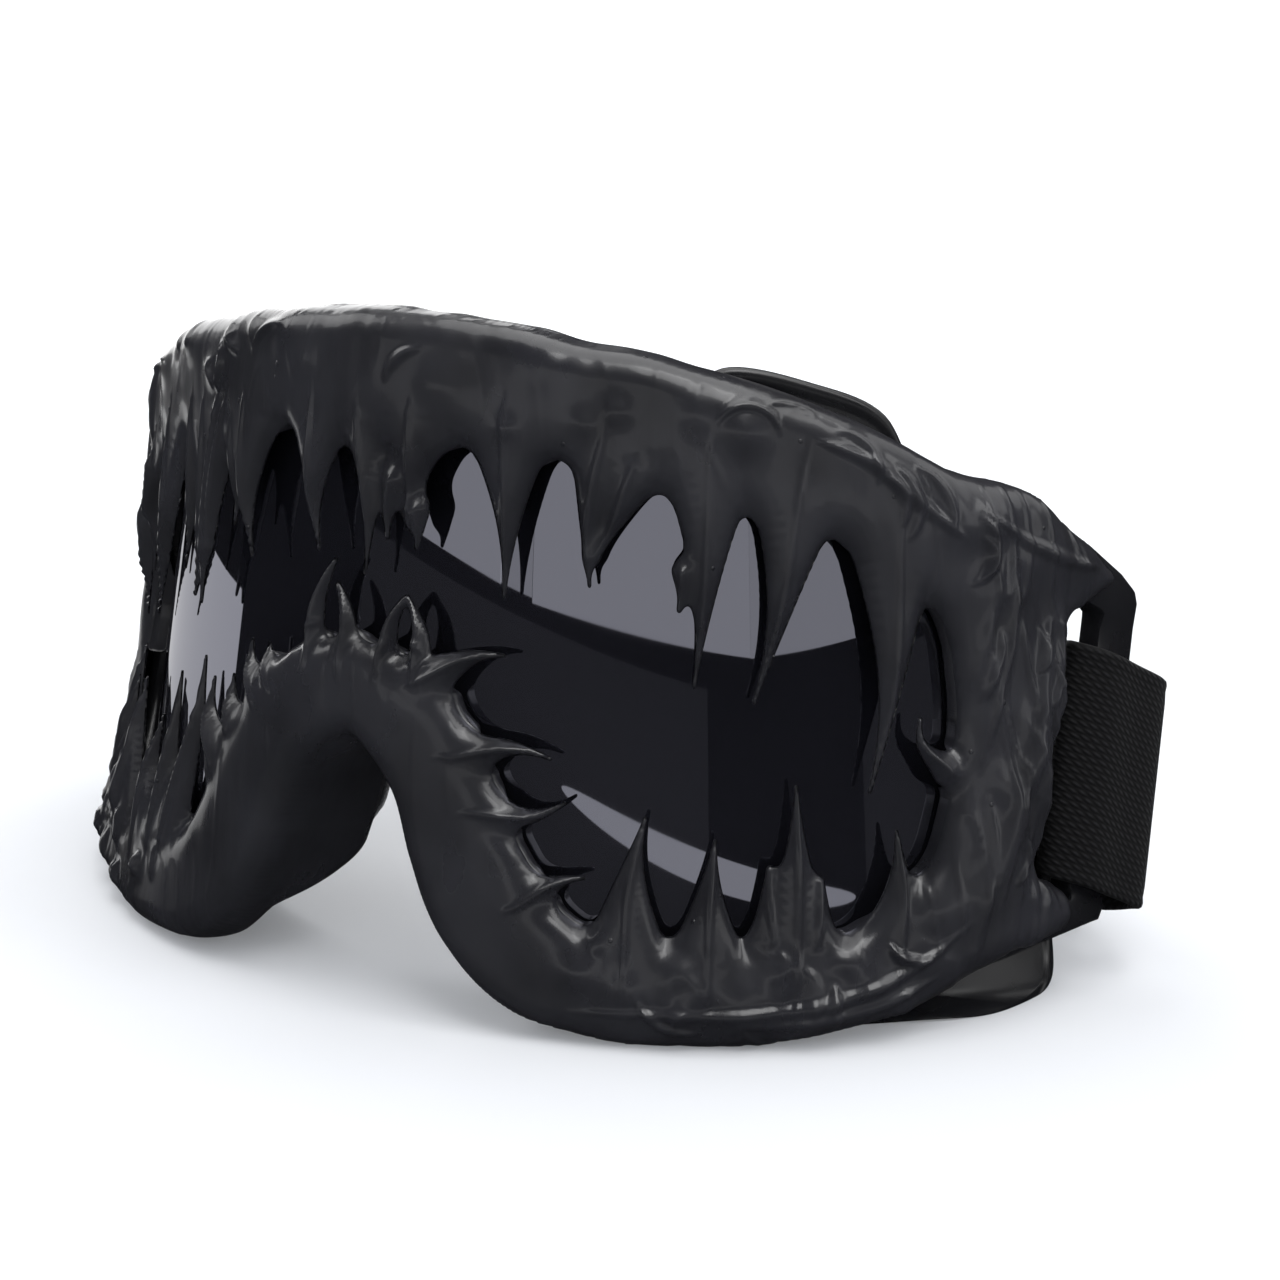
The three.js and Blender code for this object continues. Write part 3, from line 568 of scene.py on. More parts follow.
def stroke_field(grid, centre, radius):
    """Radius less distance to a tapering stroke of straight pieces, at (N, 2) points near it."""
    far_away = -50.0
    margin = radius.max() + 6
    near = ((grid > centre.min(0) - margin) & (grid < centre.max(0) + margin)).all(1)
    spots = grid[near]
    best = np.full(len(spots), far_away)
    for start, end, wide, narrow in zip(centre[:-1], centre[1:], radius[:-1], radius[1:]):
        step = end - start
        share = np.clip((spots - start) @ step / max(step @ step, 1e-9), 0, 1)
        away = np.linalg.norm(spots - start - share[:, None] * step, axis=1)
        best = np.maximum(best, wide + (narrow - wide) * share - away)
    field = np.full(len(grid), far_away)
    field[near] = best
    return field


def fang_line(root, tip, bow, count=20):
    """The middle line of a fang: straight from root to tip, with a sideways bow."""
    root, tip = np.array(root, float), np.array(tip, float)
    across = np.array([-(tip - root)[1], (tip - root)[0]])
    across /= np.linalg.norm(across)
    share = np.linspace(0, 1, count)[:, None]
    return root + (tip - root) * share + across * bow * np.sin(math.pi * share ** 1.3)


def smooth_max(a, b, width):
    """The larger of two fields, with a fillet where they meet."""
    overlap = np.maximum(width - np.abs(a - b), 0) / width
    return np.maximum(a, b) + overlap ** 2 * width / 4


def curl_points(s, z, radius, start, sweep):
    angle = np.radians(start + sweep * np.linspace(0, 1, 14))
    return np.stack([s + radius * np.cos(angle), z + radius * np.sin(angle)], 1)


def crest(grid, centre, width):
    """1 on a line, falling to 0 at the width beside it and towards its ends."""
    share = np.linspace(0, 1, len(centre))
    radius = width * np.sqrt(np.sin(math.pi * np.clip(share, 0.02, 0.98)))
    inside = np.clip(stroke_field(grid, centre, radius) / width, 0, 1)
    return (1 - (1 - inside) ** 2) ** 2


def flow_lines():
    """Short wavering ridges down both sides and round the cheeks: line, width and height."""
    random = np.random.default_rng(21)
    share = np.linspace(0, 1, 12)
    lines = []
    for count, s_low, s_high, z_low, z_high, short, long, broad in FLOW_ZONES:
        for _ in range(count):
            s, z = random.uniform(s_low, s_high), random.uniform(z_low, z_high)
            length, lean = random.uniform(short, long), random.uniform(-0.3, 0.3)
            sway = random.uniform(-1.2, 1.2)
            across = s + length * lean * share + sway * np.sin(share * 5)
            line = np.stack([across, z - length * (share - 0.5)], 1)
            lines.append((line, broad * random.uniform(0.6, 1.5), random.uniform(0.2, 0.65)))
    return lines


def hanging(grid, fangs, taper, field, blend):
    """The field with the room of tapering fangs added."""
    for root, tip, half, bow in fangs:
        centre = fang_line(root, tip, bow)
        radius = half * (1 - np.linspace(0, 1, len(centre))) ** taper + 0.26
        field = smooth_max(field, stroke_field(grid, centre, radius), blend)
    return field


def outer_room(grid):
    """Distance inside the coat's outer edge, which wavers and runs out over the arms."""
    rough_side = smoothstep(-grid[:, 0], 40, 90)
    out = signed_distance(closed_outline(0, 3000)[:, :2], grid) + COAT_EDGE
    out += 0.3 * value_noise(grid, 9, 1) + rough_side * (0.6 * value_noise(grid, 8, 2) + 0.2)
    for path in OVER_ARMS:
        steps = np.linspace(0, len(path) - 1, 40)
        s, z, radius = (np.interp(steps, range(len(path)), values) for values in zip(*path))
        for side in (1, -1):
            out = smooth_max(out, stroke_field(grid, np.stack([side * s, z], 1), radius), 5.0)
    return out


def coat_relief(grid):
    """Height of crests, curls, ridges, runs, swellings and streaks on the coat's front."""
    top = np.zeros(len(grid))
    for root, tip, half, bow in UPPER_FANGS + LOWER_FANGS + HORNS:
        beyond = np.array(root) - 0.15 * (np.array(tip) - np.array(root))
        centre = np.vstack([fang_line(beyond, root, 0.2, 4)[:-1], fang_line(root, tip, bow)])
        top += 0.5 * crest(grid, centre, 0.85)
    for curl in CURLS:
        top += 0.75 * crest(grid, curl_points(*curl), 1.1)
    for ridge in RIDGES:
        top += 0.8 * crest(grid, catmull(ridge, np.linspace(0, 1, 30), False), 1.6)
    for line, width, height in flow_lines():
        top += 1.1 * height * crest(grid, line, width) + 0.8 * height * crest(grid, line, 2.6 * width)
    for s, z, radius, height in SWELLINGS:
        away = np.linalg.norm(grid - (s, z), axis=1) / radius
        top += height * np.exp(-away ** 2)
    flow = smoothstep(np.abs(grid[:, 0] - 12), 60, 92)
    bent = grid + 3 * value_noise(grid, 18, 4)[:, None] * (1, 0)
    streaks = value_noise(bent, (2.3, 16), 5)
    creases = np.abs(value_noise(bent, (4.5, 26), 7))
    top += (0.08 + 0.24 * flow) * streaks + 0.25 * value_noise(grid, 11, 8)
    return top + (0.08 + 0.34 * flow) * (1 - np.clip(creases / 0.22, 0, 1)) ** 2


def coat_fields(grid):
    """Room inside the coat's inner and outer edges, room over the opening, and relief."""
    opening = -signed_distance(closed_outline(1, 2400)[:, :2], grid)
    edge = opening + INNER_LIP + 0.4 * value_noise(grid, 5, 3)
    inner = np.maximum.reduce([
        hanging(grid, UPPER_FANGS, 1.75, edge, 3.4),
        hanging(grid, LOWER_FANGS, 1.5, edge, 3.0),
        hanging(grid, HORNS, 0.8, edge, 1.6),
    ])
    return inner, outer_room(grid), opening, coat_relief(grid)


def skirt_depth(place):
    """How far back the coat runs over the frame's side, by place round the outer edge."""
    s, z = place[:, 0], place[:, 1]
    over_vents = np.where(z > 50, smoothstep(-np.abs(s), -54, -48),
                          smoothstep(np.abs(s), 30, 38) * smoothstep(-np.abs(s), -80, -74))
    at_nose = smoothstep(-np.abs(s), -21, -13.5) * (z < 60)
    over_arm = smoothstep(np.abs(s), 111, 114)
    depth = 6.7 - 3.3 * over_vents + 0.35 * value_noise(place, 7, 9)
    depth = depth * (1 - at_nose) + 19.5 * at_nose
    return depth * (1 - over_arm) + 2.6 * over_arm


def edge_rounding(place):
    """Radius of the coat's outer edge, larger at the wearer's upper right."""
    return 4.6 + 8.4 * upper_right(place)


def sampled(fields, place):
    """Values of grid fields at (N, 2) places between the grid's points, one row for each field."""
    at = (place - GRID_CORNER) / GRID
    whole = np.clip(np.floor(at).astype(int), 0, np.array(fields[0].shape) - 2)
    u, v = (at - whole).T
    i, j = whole.T
    return np.array([(f[i, j] * (1 - u) + f[i + 1, j] * u) * (1 - v)
                     + (f[i, j + 1] * (1 - u) + f[i + 1, j + 1] * u) * v for f in fields])


def snap_border(room, slopes, place, border):
    """Moves border points onto the line where the room is 0, evened out along the border."""
    points, ends = np.unique(border, return_inverse=True)
    ends = ends.reshape(border.shape)
    spots = place[points]
    degree = np.bincount(ends.ravel(), minlength=len(points))[:, None]
    for turn in range(6):
        if turn % 2 == 1:
            total = np.zeros_like(spots)
            np.add.at(total, ends[:, 0], spots[ends[:, 1]])
            np.add.at(total, ends[:, 1], spots[ends[:, 0]])
            spots = 0.5 * spots + 0.5 * total / degree
            continue
        slope = sampled(slopes, spots).T
        steep = np.maximum((slope ** 2).sum(1), 0.2)
        step = np.clip(sampled([room], spots)[0] / steep, -0.7 * GRID, 0.7 * GRID)
        spots = spots - slope * step[:, None]
    place[points] = spots
    return place


def keep_large_islands(quads, total, least=500):
    """Drops groups of quads that hang together with fewer than the least number."""
    label = np.arange(total)
    while True:
        before = label.copy()
        for _ in range(8):
            lowest = label[quads].min(1)
            for k in range(4):
                np.minimum.at(label, quads[:, k], lowest)
            label = label[label]
        if (label == before).all():
            break
    groups, count = np.unique(label[quads[:, 0]], return_counts=True)
    return quads[np.isin(label[quads[:, 0]], groups[count >= least])]


def coat_cells(room):
    """Cells of the grid with room for the coat, and the edges round them."""
    number = np.arange(room.size).reshape(room.shape)
    quads = np.stack([number[:-1, :-1], number[1:, :-1], number[1:, 1:], number[:-1, 1:]], -1).reshape(-1, 4)
    kept = keep_large_islands(quads[room.ravel()[quads].mean(1) > 0], room.size)
    edges = np.concatenate([kept[:, [k, (k + 1) % 4]] for k in range(4)])
    _, first, count = np.unique(np.sort(edges, 1) @ (room.size, 1), return_index=True, return_counts=True)
    return kept, edges[first[count == 1]]


def skirt(edge, outward, at_outer, top, reach):
    """Rows that run back from the border over the frame's side, or over the opening's edge."""
    knobs = 0.3 + 0.7 * smoothstep(-edge[:, 0], 60, 95) * smoothstep(-edge[:, 1], -60, -25)
    rows = []
    for row in range(1, SKIRT_ROWS):
        share = row / (SKIRT_ROWS - 1)
        depth = top + (reach - top) * min(share * 1.25, 1) - 0.3 * (row == SKIRT_ROWS - 1)
        at = np.stack([*edge.T, depth], 1)
        lump = (knobs * value_noise(at, 5, 10) + 0.3) * math.sin(min(share * 1.3, 1) * math.pi)
        inset = 0.9 * smoothstep(share, 0.75, 1.0)
        spot = edge + outward * np.where(at_outer, lump - inset, 0)[:, None]
        rows.append(surface(spot[:, 0], spot[:, 1], depth))
    return rows


def coat_piece():
    """The coat: a front and a back over the grid's cells, closed by rows round the border."""
    axes = [np.arange(low, high, GRID) for low, high in zip(GRID_CORNER, (127, 105))]
    shape = tuple(map(len, axes))
    grid = np.stack(np.meshgrid(*axes, indexing="ij"), -1).reshape(-1, 2)
    fields = [field.reshape(shape) for field in coat_fields(grid)]
    room = np.minimum(fields[0], fields[1])
    slopes = np.gradient(room, GRID)
    kept, border = coat_cells(room)
    used = np.unique(kept)
    place = snap_border(room, slopes, grid, border)[used]
    local = np.full(len(grid), -1)
    local[used] = np.arange(len(used))
    kept, border = local[kept], local[border]
    on_border = np.unique(border)

    inner, out, opening, raised = sampled(fields, place)
    inner, out = np.maximum(inner, 0), np.maximum(out, 0)
    rounding = edge_rounding(place)
    turn = np.maximum(rounding - out, 0)
    drop = rounding - np.sqrt(np.maximum(rounding ** 2 - turn ** 2, 0))
    height = COAT_FRONT * (1 - np.exp(-inner / 1.4)) + raised * smoothstep(inner, 0.1, 1.4)
    top = COAT_BACK - 0.1 - height + drop * np.minimum(1, inner / 2.0)
    at_outer = (out < inner)[on_border]
    top[on_border] = np.where(at_outer, top[on_border], COAT_BACK - 0.08)
    back = np.maximum(COAT_BACK, top + 0.2)
    back[on_border] = np.where(at_outer, back[on_border], COAT_BACK)

    edge = place[on_border]
    outward = -sampled(slopes, edge).T
    outward /= np.maximum(np.linalg.norm(outward, axis=1), 1e-6)[:, None]
    lip = LIP_DEPTH + (COAT_BACK - LIP_DEPTH) * smoothstep(-opening[on_border], 1.2, 2.6)
    reach = np.maximum(np.where(at_outer, skirt_depth(edge), lip), top[on_border])
    layers = [surface(*place.T, top), surface(*place.T, back)]
    layers += skirt(edge, outward, at_outer, top[on_border], reach)

    count = len(used)
    faces = kept.tolist() + (kept[:, ::-1] + count).tolist()
    row_of = np.full(count, -1)
    row_of[on_border] = np.arange(len(on_border))
    rings = [border, *(2 * count + row * len(on_border) + row_of[border] for row in range(SKIRT_ROWS - 1)),
             border + count]
    for (a, b), (next_a, next_b) in zip([ring.T for ring in rings[:-1]], [ring.T for ring in rings[1:]]):
        faces += np.stack([b, a, next_a, next_b], 1).tolist()
    new_piece("poured_coat", np.concatenate(layers), faces, "coat_rubber", "drip_coat")


coat_piece()


# ---------------- frames and lenses

def outline_height(s, want_top):
    outer = closed_outline(0, 1200)
    near = outer[np.abs(outer[:, 0] - s) < 1.2][:, 1]
    return near.max() if want_top else near.min()


def bar(sides, section):
    """Skin of a bar along s; section(s) gives its (z, d) corners."""
    return skin(np.array([[surface(s, z, d) for z, d in section(s)] for s in sides]), False)


def vent_cutter(s, want_top):
    edge = outline_height(s, want_top)
    outside = edge + 3 if want_top else edge - 4
    inside = edge - VENT_FOAM_END if want_top else edge + VENT_FOAM_END
    near, far = VENT_DEPTHS
    sides = np.linspace(s - VENT_HALF_LENGTH, s + VENT_HALF_LENGTH, 4)
    return bar(sides, lambda _: [(outside, near), (outside, far), (inside, far), (inside, near)])


def cut_vents(piece):
    points, faces = [], []
    for s, want_top in [(s, True) for s in BROW_VENTS] + [(s, False) for s in CHEEK_VENTS]:
        more, quads = vent_cutter(s, want_top)
        faces += [[len(points) + k for k in quad] for quad in quads]
        points += (more * MM).tolist()
    mesh = bpy.data.meshes.new("vent_cutters")
    mesh.from_pydata(points, [], faces)
    cutter = placed("vent_cutters", mesh)
    modifier = piece.modifiers.new("vents", "BOOLEAN")
    modifier.object = cutter
    modifier.operation = "DIFFERENCE"
    apply_modifiers(piece)
    bpy.data.objects.remove(cutter)


def rim_shell():
    rim = Rim(FRAME_STATIONS)
    width = rim.width
    corner = 1.8 + 4.4 * upper_right(rim.outer)
    turns = [(1 - math.sin(a), 1 - math.cos(a)) for a in np.linspace(0, math.pi / 2, 7)]
    section = (
        (width, 1.6), (width - 0.25, 0.7), (width - 0.9, 0.15), (width - 1.6, 0), (width / 2, 0),
        *((corner * inset, corner * depth) for inset, depth in turns),
        (0, WALL_DEPTH - 0.5), (0.4, WALL_DEPTH), (OUTER_WALL - 0.3, WALL_DEPTH),
        (OUTER_WALL, WALL_DEPTH - 0.4), (OUTER_WALL, RIM_THICKNESS), (width * 0.6, RIM_THICKNESS),
        (width - 0.3, RIM_THICKNESS), (width, RIM_THICKNESS - 0.5),
    )
    columns = [rim.at(inset, depth) for inset, depth in section]
    piece = ring_piece("rim_shell", columns, "frame_plastic", "outer_frame")
    cut_vents(piece)
    auto_smooth(piece, 35)


def face_plate():
    rim = Rim(FRAME_STATIONS)
    width, depth = rim.width, rim.edge[:, 2]
    foot = 1 - np.minimum(BEAD / np.maximum(rim.reach, 0.1), 0.5)
    turn = 0.42
    # The bead along the flange's edge: share of its width and rise in front of the edge's depth
    bead = ((-0.12, 0.25), (0.02, 0.3), (0.2, 0.52), (0.42, 0.66), (0.7, 0.62), (0.9, 0.35), (1, -0.1))
    inner = ((FACE_WALL_START, LEDGE_BACK), (width - 2.9, LEDGE_BACK), (width - 2.5, LEDGE_BACK - 0.4),
             (width - 2.5, LEDGE_DEPTH), (FACE_WALL_END, LEDGE_DEPTH), (FACE_WALL_END, RIM_THICKNESS + GAP))
    columns = [
        rim.at(FACE_WALL_START, RIM_THICKNESS + GAP), rim.at(FACE_WALL_START, FLANGE_DEPTH - 0.5),
        rim.flange(0.04, FLANGE_DEPTH - 0.05), rim.flange(turn, FLANGE_DEPTH),
        *(rim.flange(foot + (1 - foot) * share, depth - rise) for share, rise in bead),
        rim.flange(1, depth + FLANGE_THICKNESS - 0.9),
        rim.flange(foot + (1 - foot) * 0.8, depth + FLANGE_THICKNESS - 0.5), rim.flange(turn, LEDGE_BACK),
        *(rim.at(inset, back) for inset, back in inner),
    ]
    piece = ring_piece("face_plate", columns, "frame_plastic", "face_frame")
    cut_vents(piece)
    auto_smooth(piece, 50)


def lens_pane(name, overlap, depths, slot, node):
    rim = Rim(PANE_STATIONS)
    outline = rim.outer[:, :2] + rim.inward * (rim.width - overlap)[:, None]
    following = np.roll(outline, -1, axis=0)
    reach = outline[:, 0].max() - 0.4
    rows = []
    for s in np.sin(np.linspace(-1, 1, 161) * math.pi / 2) * reach:
        crosses = (outline[:, 0] - s) * (following[:, 0] - s) <= 0
        start, end = outline[crosses], following[crosses]
        heights = start[:, 1] + (end[:, 1] - start[:, 1]) * (s - start[:, 0]) / (end[:, 0] - start[:, 0])
        up = np.linspace(heights.min(), heights.max(), 12)
        rows.append(np.concatenate([surface(s, up, depths[0]), surface(s, up[::-1], depths[1])]))
    points, faces = skin(np.array(rows), False)
    auto_smooth(new_piece(name, points, faces, slot, node), 40)


rim_shell()
face_plate()
lens_pane("lens_front_pane", LENS_OVERLAP, LENS_DEPTHS, "lens_smoke", "lens_outer")
lens_pane("lens_rear_pane", LENS_OVERLAP - 0.5, INNER_LENS_DEPTHS, "lens_clear", "lens_inner")


# ---------------- strap arms

ARM_START = 101
ARM_END = 127.5
ARM_SLANT = 8 / 48                 # how far the arm's end leans forward at the foot, per mm of height
ARM_FOOT = 18
SLANT_START = 105
ARM_DEPTH = 5.4
POST_START = 117.8


def slanted(s, z):
    share = min(max((s - SLANT_START) / (POST_START - SLANT_START), 0), 1)
    return s + share * ARM_SLANT * (z - ARM_FOOT)


def arm_share(s):
    return (s - ARM_START) / (ARM_END - ARM_START)


def arm_top(s):
    return 81 - 14.6 * arm_share(s) + 1.4 * math.sin(math.pi * arm_share(s))


def arm_bottom(s):
    return 12.6 + 5 * arm_share(s)


def arm_path():
    """Stations along the arm, round the strap window: outer edge, inner edge and front depth."""
    root = np.linspace(ARM_START, POST_START - 2.4, 12)
    blunt = ARM_END - 1.4
    return [
        *(((s, arm_top(s)), (s, 66.4 - 1.4 * arm_share(s)), 0.25) for s in root),
        ((122.5, arm_top(122.5)), (POST_START - 0.7, 64.6), 0.3),
        ((blunt, arm_top(blunt) + 0.1), (POST_START - 0.1, 63.9), 0.5),
        ((ARM_END - 0.2, 65.6), (POST_START, 63.0), 0.8),
        *(((ARM_END, z), (POST_START, z), 1.2) for z in np.linspace(61.5, 24.5, 14)),
        ((ARM_END - 0.2, 19.0), (POST_START, 22.8), 0.8),
        ((blunt, arm_bottom(blunt) - 0.1), (POST_START - 0.1, 21.7), 0.5),
        ((122.5, arm_bottom(122.5)), (POST_START - 0.7, 21.1), 0.3),
        *(((s, arm_bottom(s)), (s, 23.3 - 3.8 * arm_share(s)), 0.25) for s in root[::-1]),
    ]


def arm_piece(side, name):
    # Inset from the outer edge and depth behind the arm's front
    bevels = ((0.0, 2.3), (0.12, 1.5), (0.9, 0.55), (2.0, 0.06))
    rows = []
    for outer, inner, front in arm_path():
        outer, inner = np.array(outer, float), np.array(inner, float)
        across = inner - outer
        length = np.linalg.norm(across)
        across /= length
        limit = min(1.0, 0.35 * length / 2.2)
        spots = [(outer + across * inset * limit, front + depth) for inset, depth in bevels]
        spots += [(inner - across * 0.8, front + 0.02), (inner - across * 0.25, front + 0.2),
                  (inner, front + 0.8), (inner, ARM_DEPTH - 0.4), (inner - across * 0.4, ARM_DEPTH),
                  (outer + across * 0.4, ARM_DEPTH), (outer, ARM_DEPTH - 0.4)]
        rows.append([surface(side * slanted(s, z), z, d) for (s, z), d in spots])
    points, faces = skin(np.array(rows), False)
    auto_smooth(new_piece(name, points, faces, "frame_plastic"), 40)


arm_piece(1, "strap_arm_left")
arm_piece(-1, "strap_arm_right")


# ---------------- foams and gasket

def soft_ring(name, outer_inset, inner_inset, depths, bulge, slot, node):
    """A ring of foam with rounded edges whose sides pull in a little between its faces."""
    rim = Rim(FOAM_STATIONS)
    near, far = depths
    turns = 20
    columns = []
    for step in range(turns):
        angle = 2 * math.pi * (step + 0.5) / turns
        across, deep = (np.sign(wave) * abs(wave) ** 0.45 for wave in (math.cos(angle), math.sin(angle)))
        depth = (near + far) / 2 + deep * (far - near) / 2
        start, end = outer_inset(rim, depth), inner_inset(rim, depth)
        inset = (start + end) / 2 + across * ((end - start) / 2 - bulge * (1 - deep ** 2))
        columns.append(rim.at(inset, depth))
    ring_piece(name, columns, slot, node)


FOAM_START = LEDGE_BACK + GAP
# Piece, node, thickness, how far the sides pull in, and slot
FOAM_LAYERS = (
    ("foam_base_pad", "foam_base", 6.0, 0.35, "foam"),
    ("foam_middle_pad", "foam_middle", 4.0, 0.25, "foam"),
    ("foam_fleece_pad", "foam_fleece", 2.2, -0.15, "fleece"),
)
FOAM_TOTAL = sum(layer[2] + GAP for layer in FOAM_LAYERS)


def foam_outer(rim, depth):
    inset = 3.4 + 4.6 * (depth - FOAM_START) / FOAM_TOTAL
    return inset + (0.9 - inset) * rim.nose_share()


def foam_inner(rim, depth):
    return rim.width + 1.0 + 1.5 * (depth - FOAM_START) / FOAM_TOTAL


def foams():
    depth = FOAM_START
    for name, node, thickness, bulge, slot in FOAM_LAYERS:
        soft_ring(name, foam_outer, foam_inner, (depth, depth + thickness), bulge, slot, node)
        depth += thickness + GAP
    soft_ring("lens_gasket_seal", lambda rim, _: rim.width - LENS_OVERLAP + 0.5,
              lambda rim, _: rim.width - 0.5, GASKET_DEPTHS, 0.1, "foam", "lens_gasket")


def vent_foam(node, start, end, want_top):
    """A strip of foam behind the vents, with its edges cut off."""
    sign = -1 if want_top else 1
    near, far = 3.75, 7.35
    inner, outer = FACE_WALL_END + GAP + 0.5, VENT_FOAM_END
    cut = 0.3
    corners = ((inner, near + cut), (inner, far - cut), (inner + cut, far), (outer - cut, far),
               (outer, far - cut), (outer, near + cut), (outer - cut, near), (inner + cut, near))

    def section(s):
        edge = outline_height(s, want_top)
        return [(edge + sign * inset, depth) for inset, depth in corners]

    points, faces = bar(np.linspace(start, end, max(4, round(abs(end - start) / 2))), section)
    new_piece(node + "_strip", points, faces, "foam", node)


foams()
vent_foam("vent_foam_brow_right", -46, -11, True)
vent_foam("vent_foam_brow_middle", -9, 9, True)
vent_foam("vent_foam_brow_left", 11, 46, True)
vent_foam("vent_foam_cheek_right", -70, -39, False)
vent_foam("vent_foam_cheek_left", 39, 70, False)


# ---------------- strap

STRAP_WIDTH = 35.0
STRAP_THICKNESS = 1.6
REAR_RUN = 51.73                   # y of the strap's runs behind the goggles
TAIL_RUN = REAR_RUN - STRAP_THICKNESS - 0.6
MIDDLE_RUN = REAR_RUN - 8.2
FRONT_RUN = REAR_RUN - 16.2
LOW = 3.6                          # height of the lower edge, on the wearer's left and right
HIGH = 16.5


def on_arm(side, s, z, d):
    """Both edges of the strap where its middle lies on an arm."""
    rise = np.array([-0.5, 0.5]) * STRAP_WIDTH
    return surface(side * (s + ARM_SLANT * rise), z + rise, d)


def behind(side, x, y, lower):
    """Both edges of the strap where it stands behind the goggles."""
    return np.array([[side * x, y, lower], [side * x, y, lower + STRAP_WIDTH]])


def side_route(side, lower):
    """Both edges of the strap from the middle of the back, round a post, to its folded tail."""
    lift = lower - LOW
    to_arm = (
        (21, TAIL_RUN, 0), (38, TAIL_RUN, 0), (57, TAIL_RUN - 0.2, 0), (68.5, REAR_RUN - 8.5, 1.5),
        (77, REAR_RUN - 16.5, 5),
    )
    round_post = (
        (135, 37.5 + 0.3 * lift, 7.1), (128, 40, 7.2), (121.6, 41.6, 6.7), (117.6, 42.3, 2.7),
        (121.4, 41.3, -1.3), (127.5, 39.2, -1.7), (134.3, 36.9 + 0.2 * lift, -1.2),
        (139.2, 35.2 + 0.5 * lift, 3.6), (140, 33.6 + 0.7 * lift, 10.6),
    )
    folded = (
        (76.8, REAR_RUN - 8.8, 1.5), (67.5, REAR_RUN - 2.6, 0.4), (57, REAR_RUN, 0), (46, REAR_RUN, 0),
        (34, REAR_RUN, 0), (22, REAR_RUN, 0), (12.5, REAR_RUN, 0), (7, REAR_RUN - 1.2, 0),
        (5.2, REAR_RUN - 4.1, 0), (7, MIDDLE_RUN + 1.2, 0), (12.5, MIDDLE_RUN, 0), (32, MIDDLE_RUN, 0),
        (50, MIDDLE_RUN, 0), (56, MIDDLE_RUN - 1.2, 0), (58, MIDDLE_RUN - 4, 0), (56, FRONT_RUN + 1.2, 0),
        (50, FRONT_RUN, 0), (32, FRONT_RUN, 0),
    )
    return [
        *(behind(side, x, y, lower + rise) for x, y, rise in to_arm),
        *(on_arm(side, s, z, d) for s, z, d in round_post),
        *(behind(side, x, y, lower + rise) for x, y, rise in folded),
    ]


STRAP_ROUTE = np.array(side_route(1, LOW) + side_route(-1, HIGH)[::-1])


def ribbon(start, end, count, low, high):
    """Points at the low and high shares of the strap's width, and its thickness direction."""
    t = np.linspace(start, end, count)
    lower = catmull(STRAP_ROUTE[:, 0], t, False)
    upper = catmull(STRAP_ROUTE[:, 1], t, False)
    along = np.gradient(lower + upper, axis=0)
    normal = np.stack([along[:, 1], -along[:, 0], np.zeros(count)], 1)
    normal /= np.linalg.norm(normal, axis=1)[:, None]
    return lower + (upper - lower) * low, lower + (upper - lower) * high, normal


def strap_edges():
    """Where the strap's section turns: share of the width and offset through the thickness."""
    half = STRAP_THICKNESS / 2
    lip = 0.9 / STRAP_WIDTH
    near_edge = np.array([0, lip / 3, lip, 2 * lip])
    shares = np.concatenate([near_edge, np.linspace(0.1, 0.9, 9), 1 - near_edge[::-1]])
    thick = np.full(len(shares), half)
    thick[[0, -1]] = half * 0.35
    thick[[1, -2]] = half * 0.85
    thick[[3, -4]] = half * 0.86
    return shares, thick


def strap_band():
    low, high, normal = ribbon(0, 1, 900, 0, 1)
    shares, thick = strap_edges()
    front = [low + (high - low) * share + normal * offset for share, offset in zip(shares, thick)]
    back = [low + (high - low) * share - normal * offset for share, offset in zip(shares[::-1], thick[::-1])]
    points, faces = skin(np.stack(front + back, 1), False)
    piece = new_piece("strap_elastic_band", points, faces, "strap_elastic", "strap_band")
    # The stitches follow the unrolled strap: its length and width in metres
    length = np.concatenate([[0], np.cumsum(np.linalg.norm(np.diff((low + high) / 2, axis=0), axis=1))])
    across = np.concatenate([shares, shares[::-1]]) * STRAP_WIDTH
    unrolled = np.stack(np.broadcast_arrays(length[:, None], across[None, :]), -1).reshape(-1, 2) * MM
    corner = np.zeros(len(piece.data.loops), int)
    piece.data.loops.foreach_get("vertex_index", corner)
    piece.data.uv_layers.new(name="strap").data.foreach_set("uv", unrolled[corner].ravel())
    auto_smooth(piece, 60)


def grip_line(name, node, bottom):
    """A bead of silicone along the strap, with a rounded back."""
    low, high, normal = ribbon(0.45, 0.55, 160, bottom, bottom + 0.08)
    lift = STRAP_THICKNESS / 2 + GAP
    profile = ((0.02, 0.0), (0.0, 0.12), (0.14, 0.4), (0.35, 0.56),
               (0.65, 0.56), (0.86, 0.4), (1.0, 0.12), (0.98, 0.0))
    rows = np.stack([low + (high - low) * share + normal * (lift + rise) for share, rise in profile], 1)
    points, faces = skin(rows, False)
    new_piece(name, points, faces, "grip_silicone", node)


strap_band()
grip_line("grip_bead_upper", "strap_grip_upper", 0.64)
grip_line("grip_bead_lower", "strap_grip_lower", 0.28)


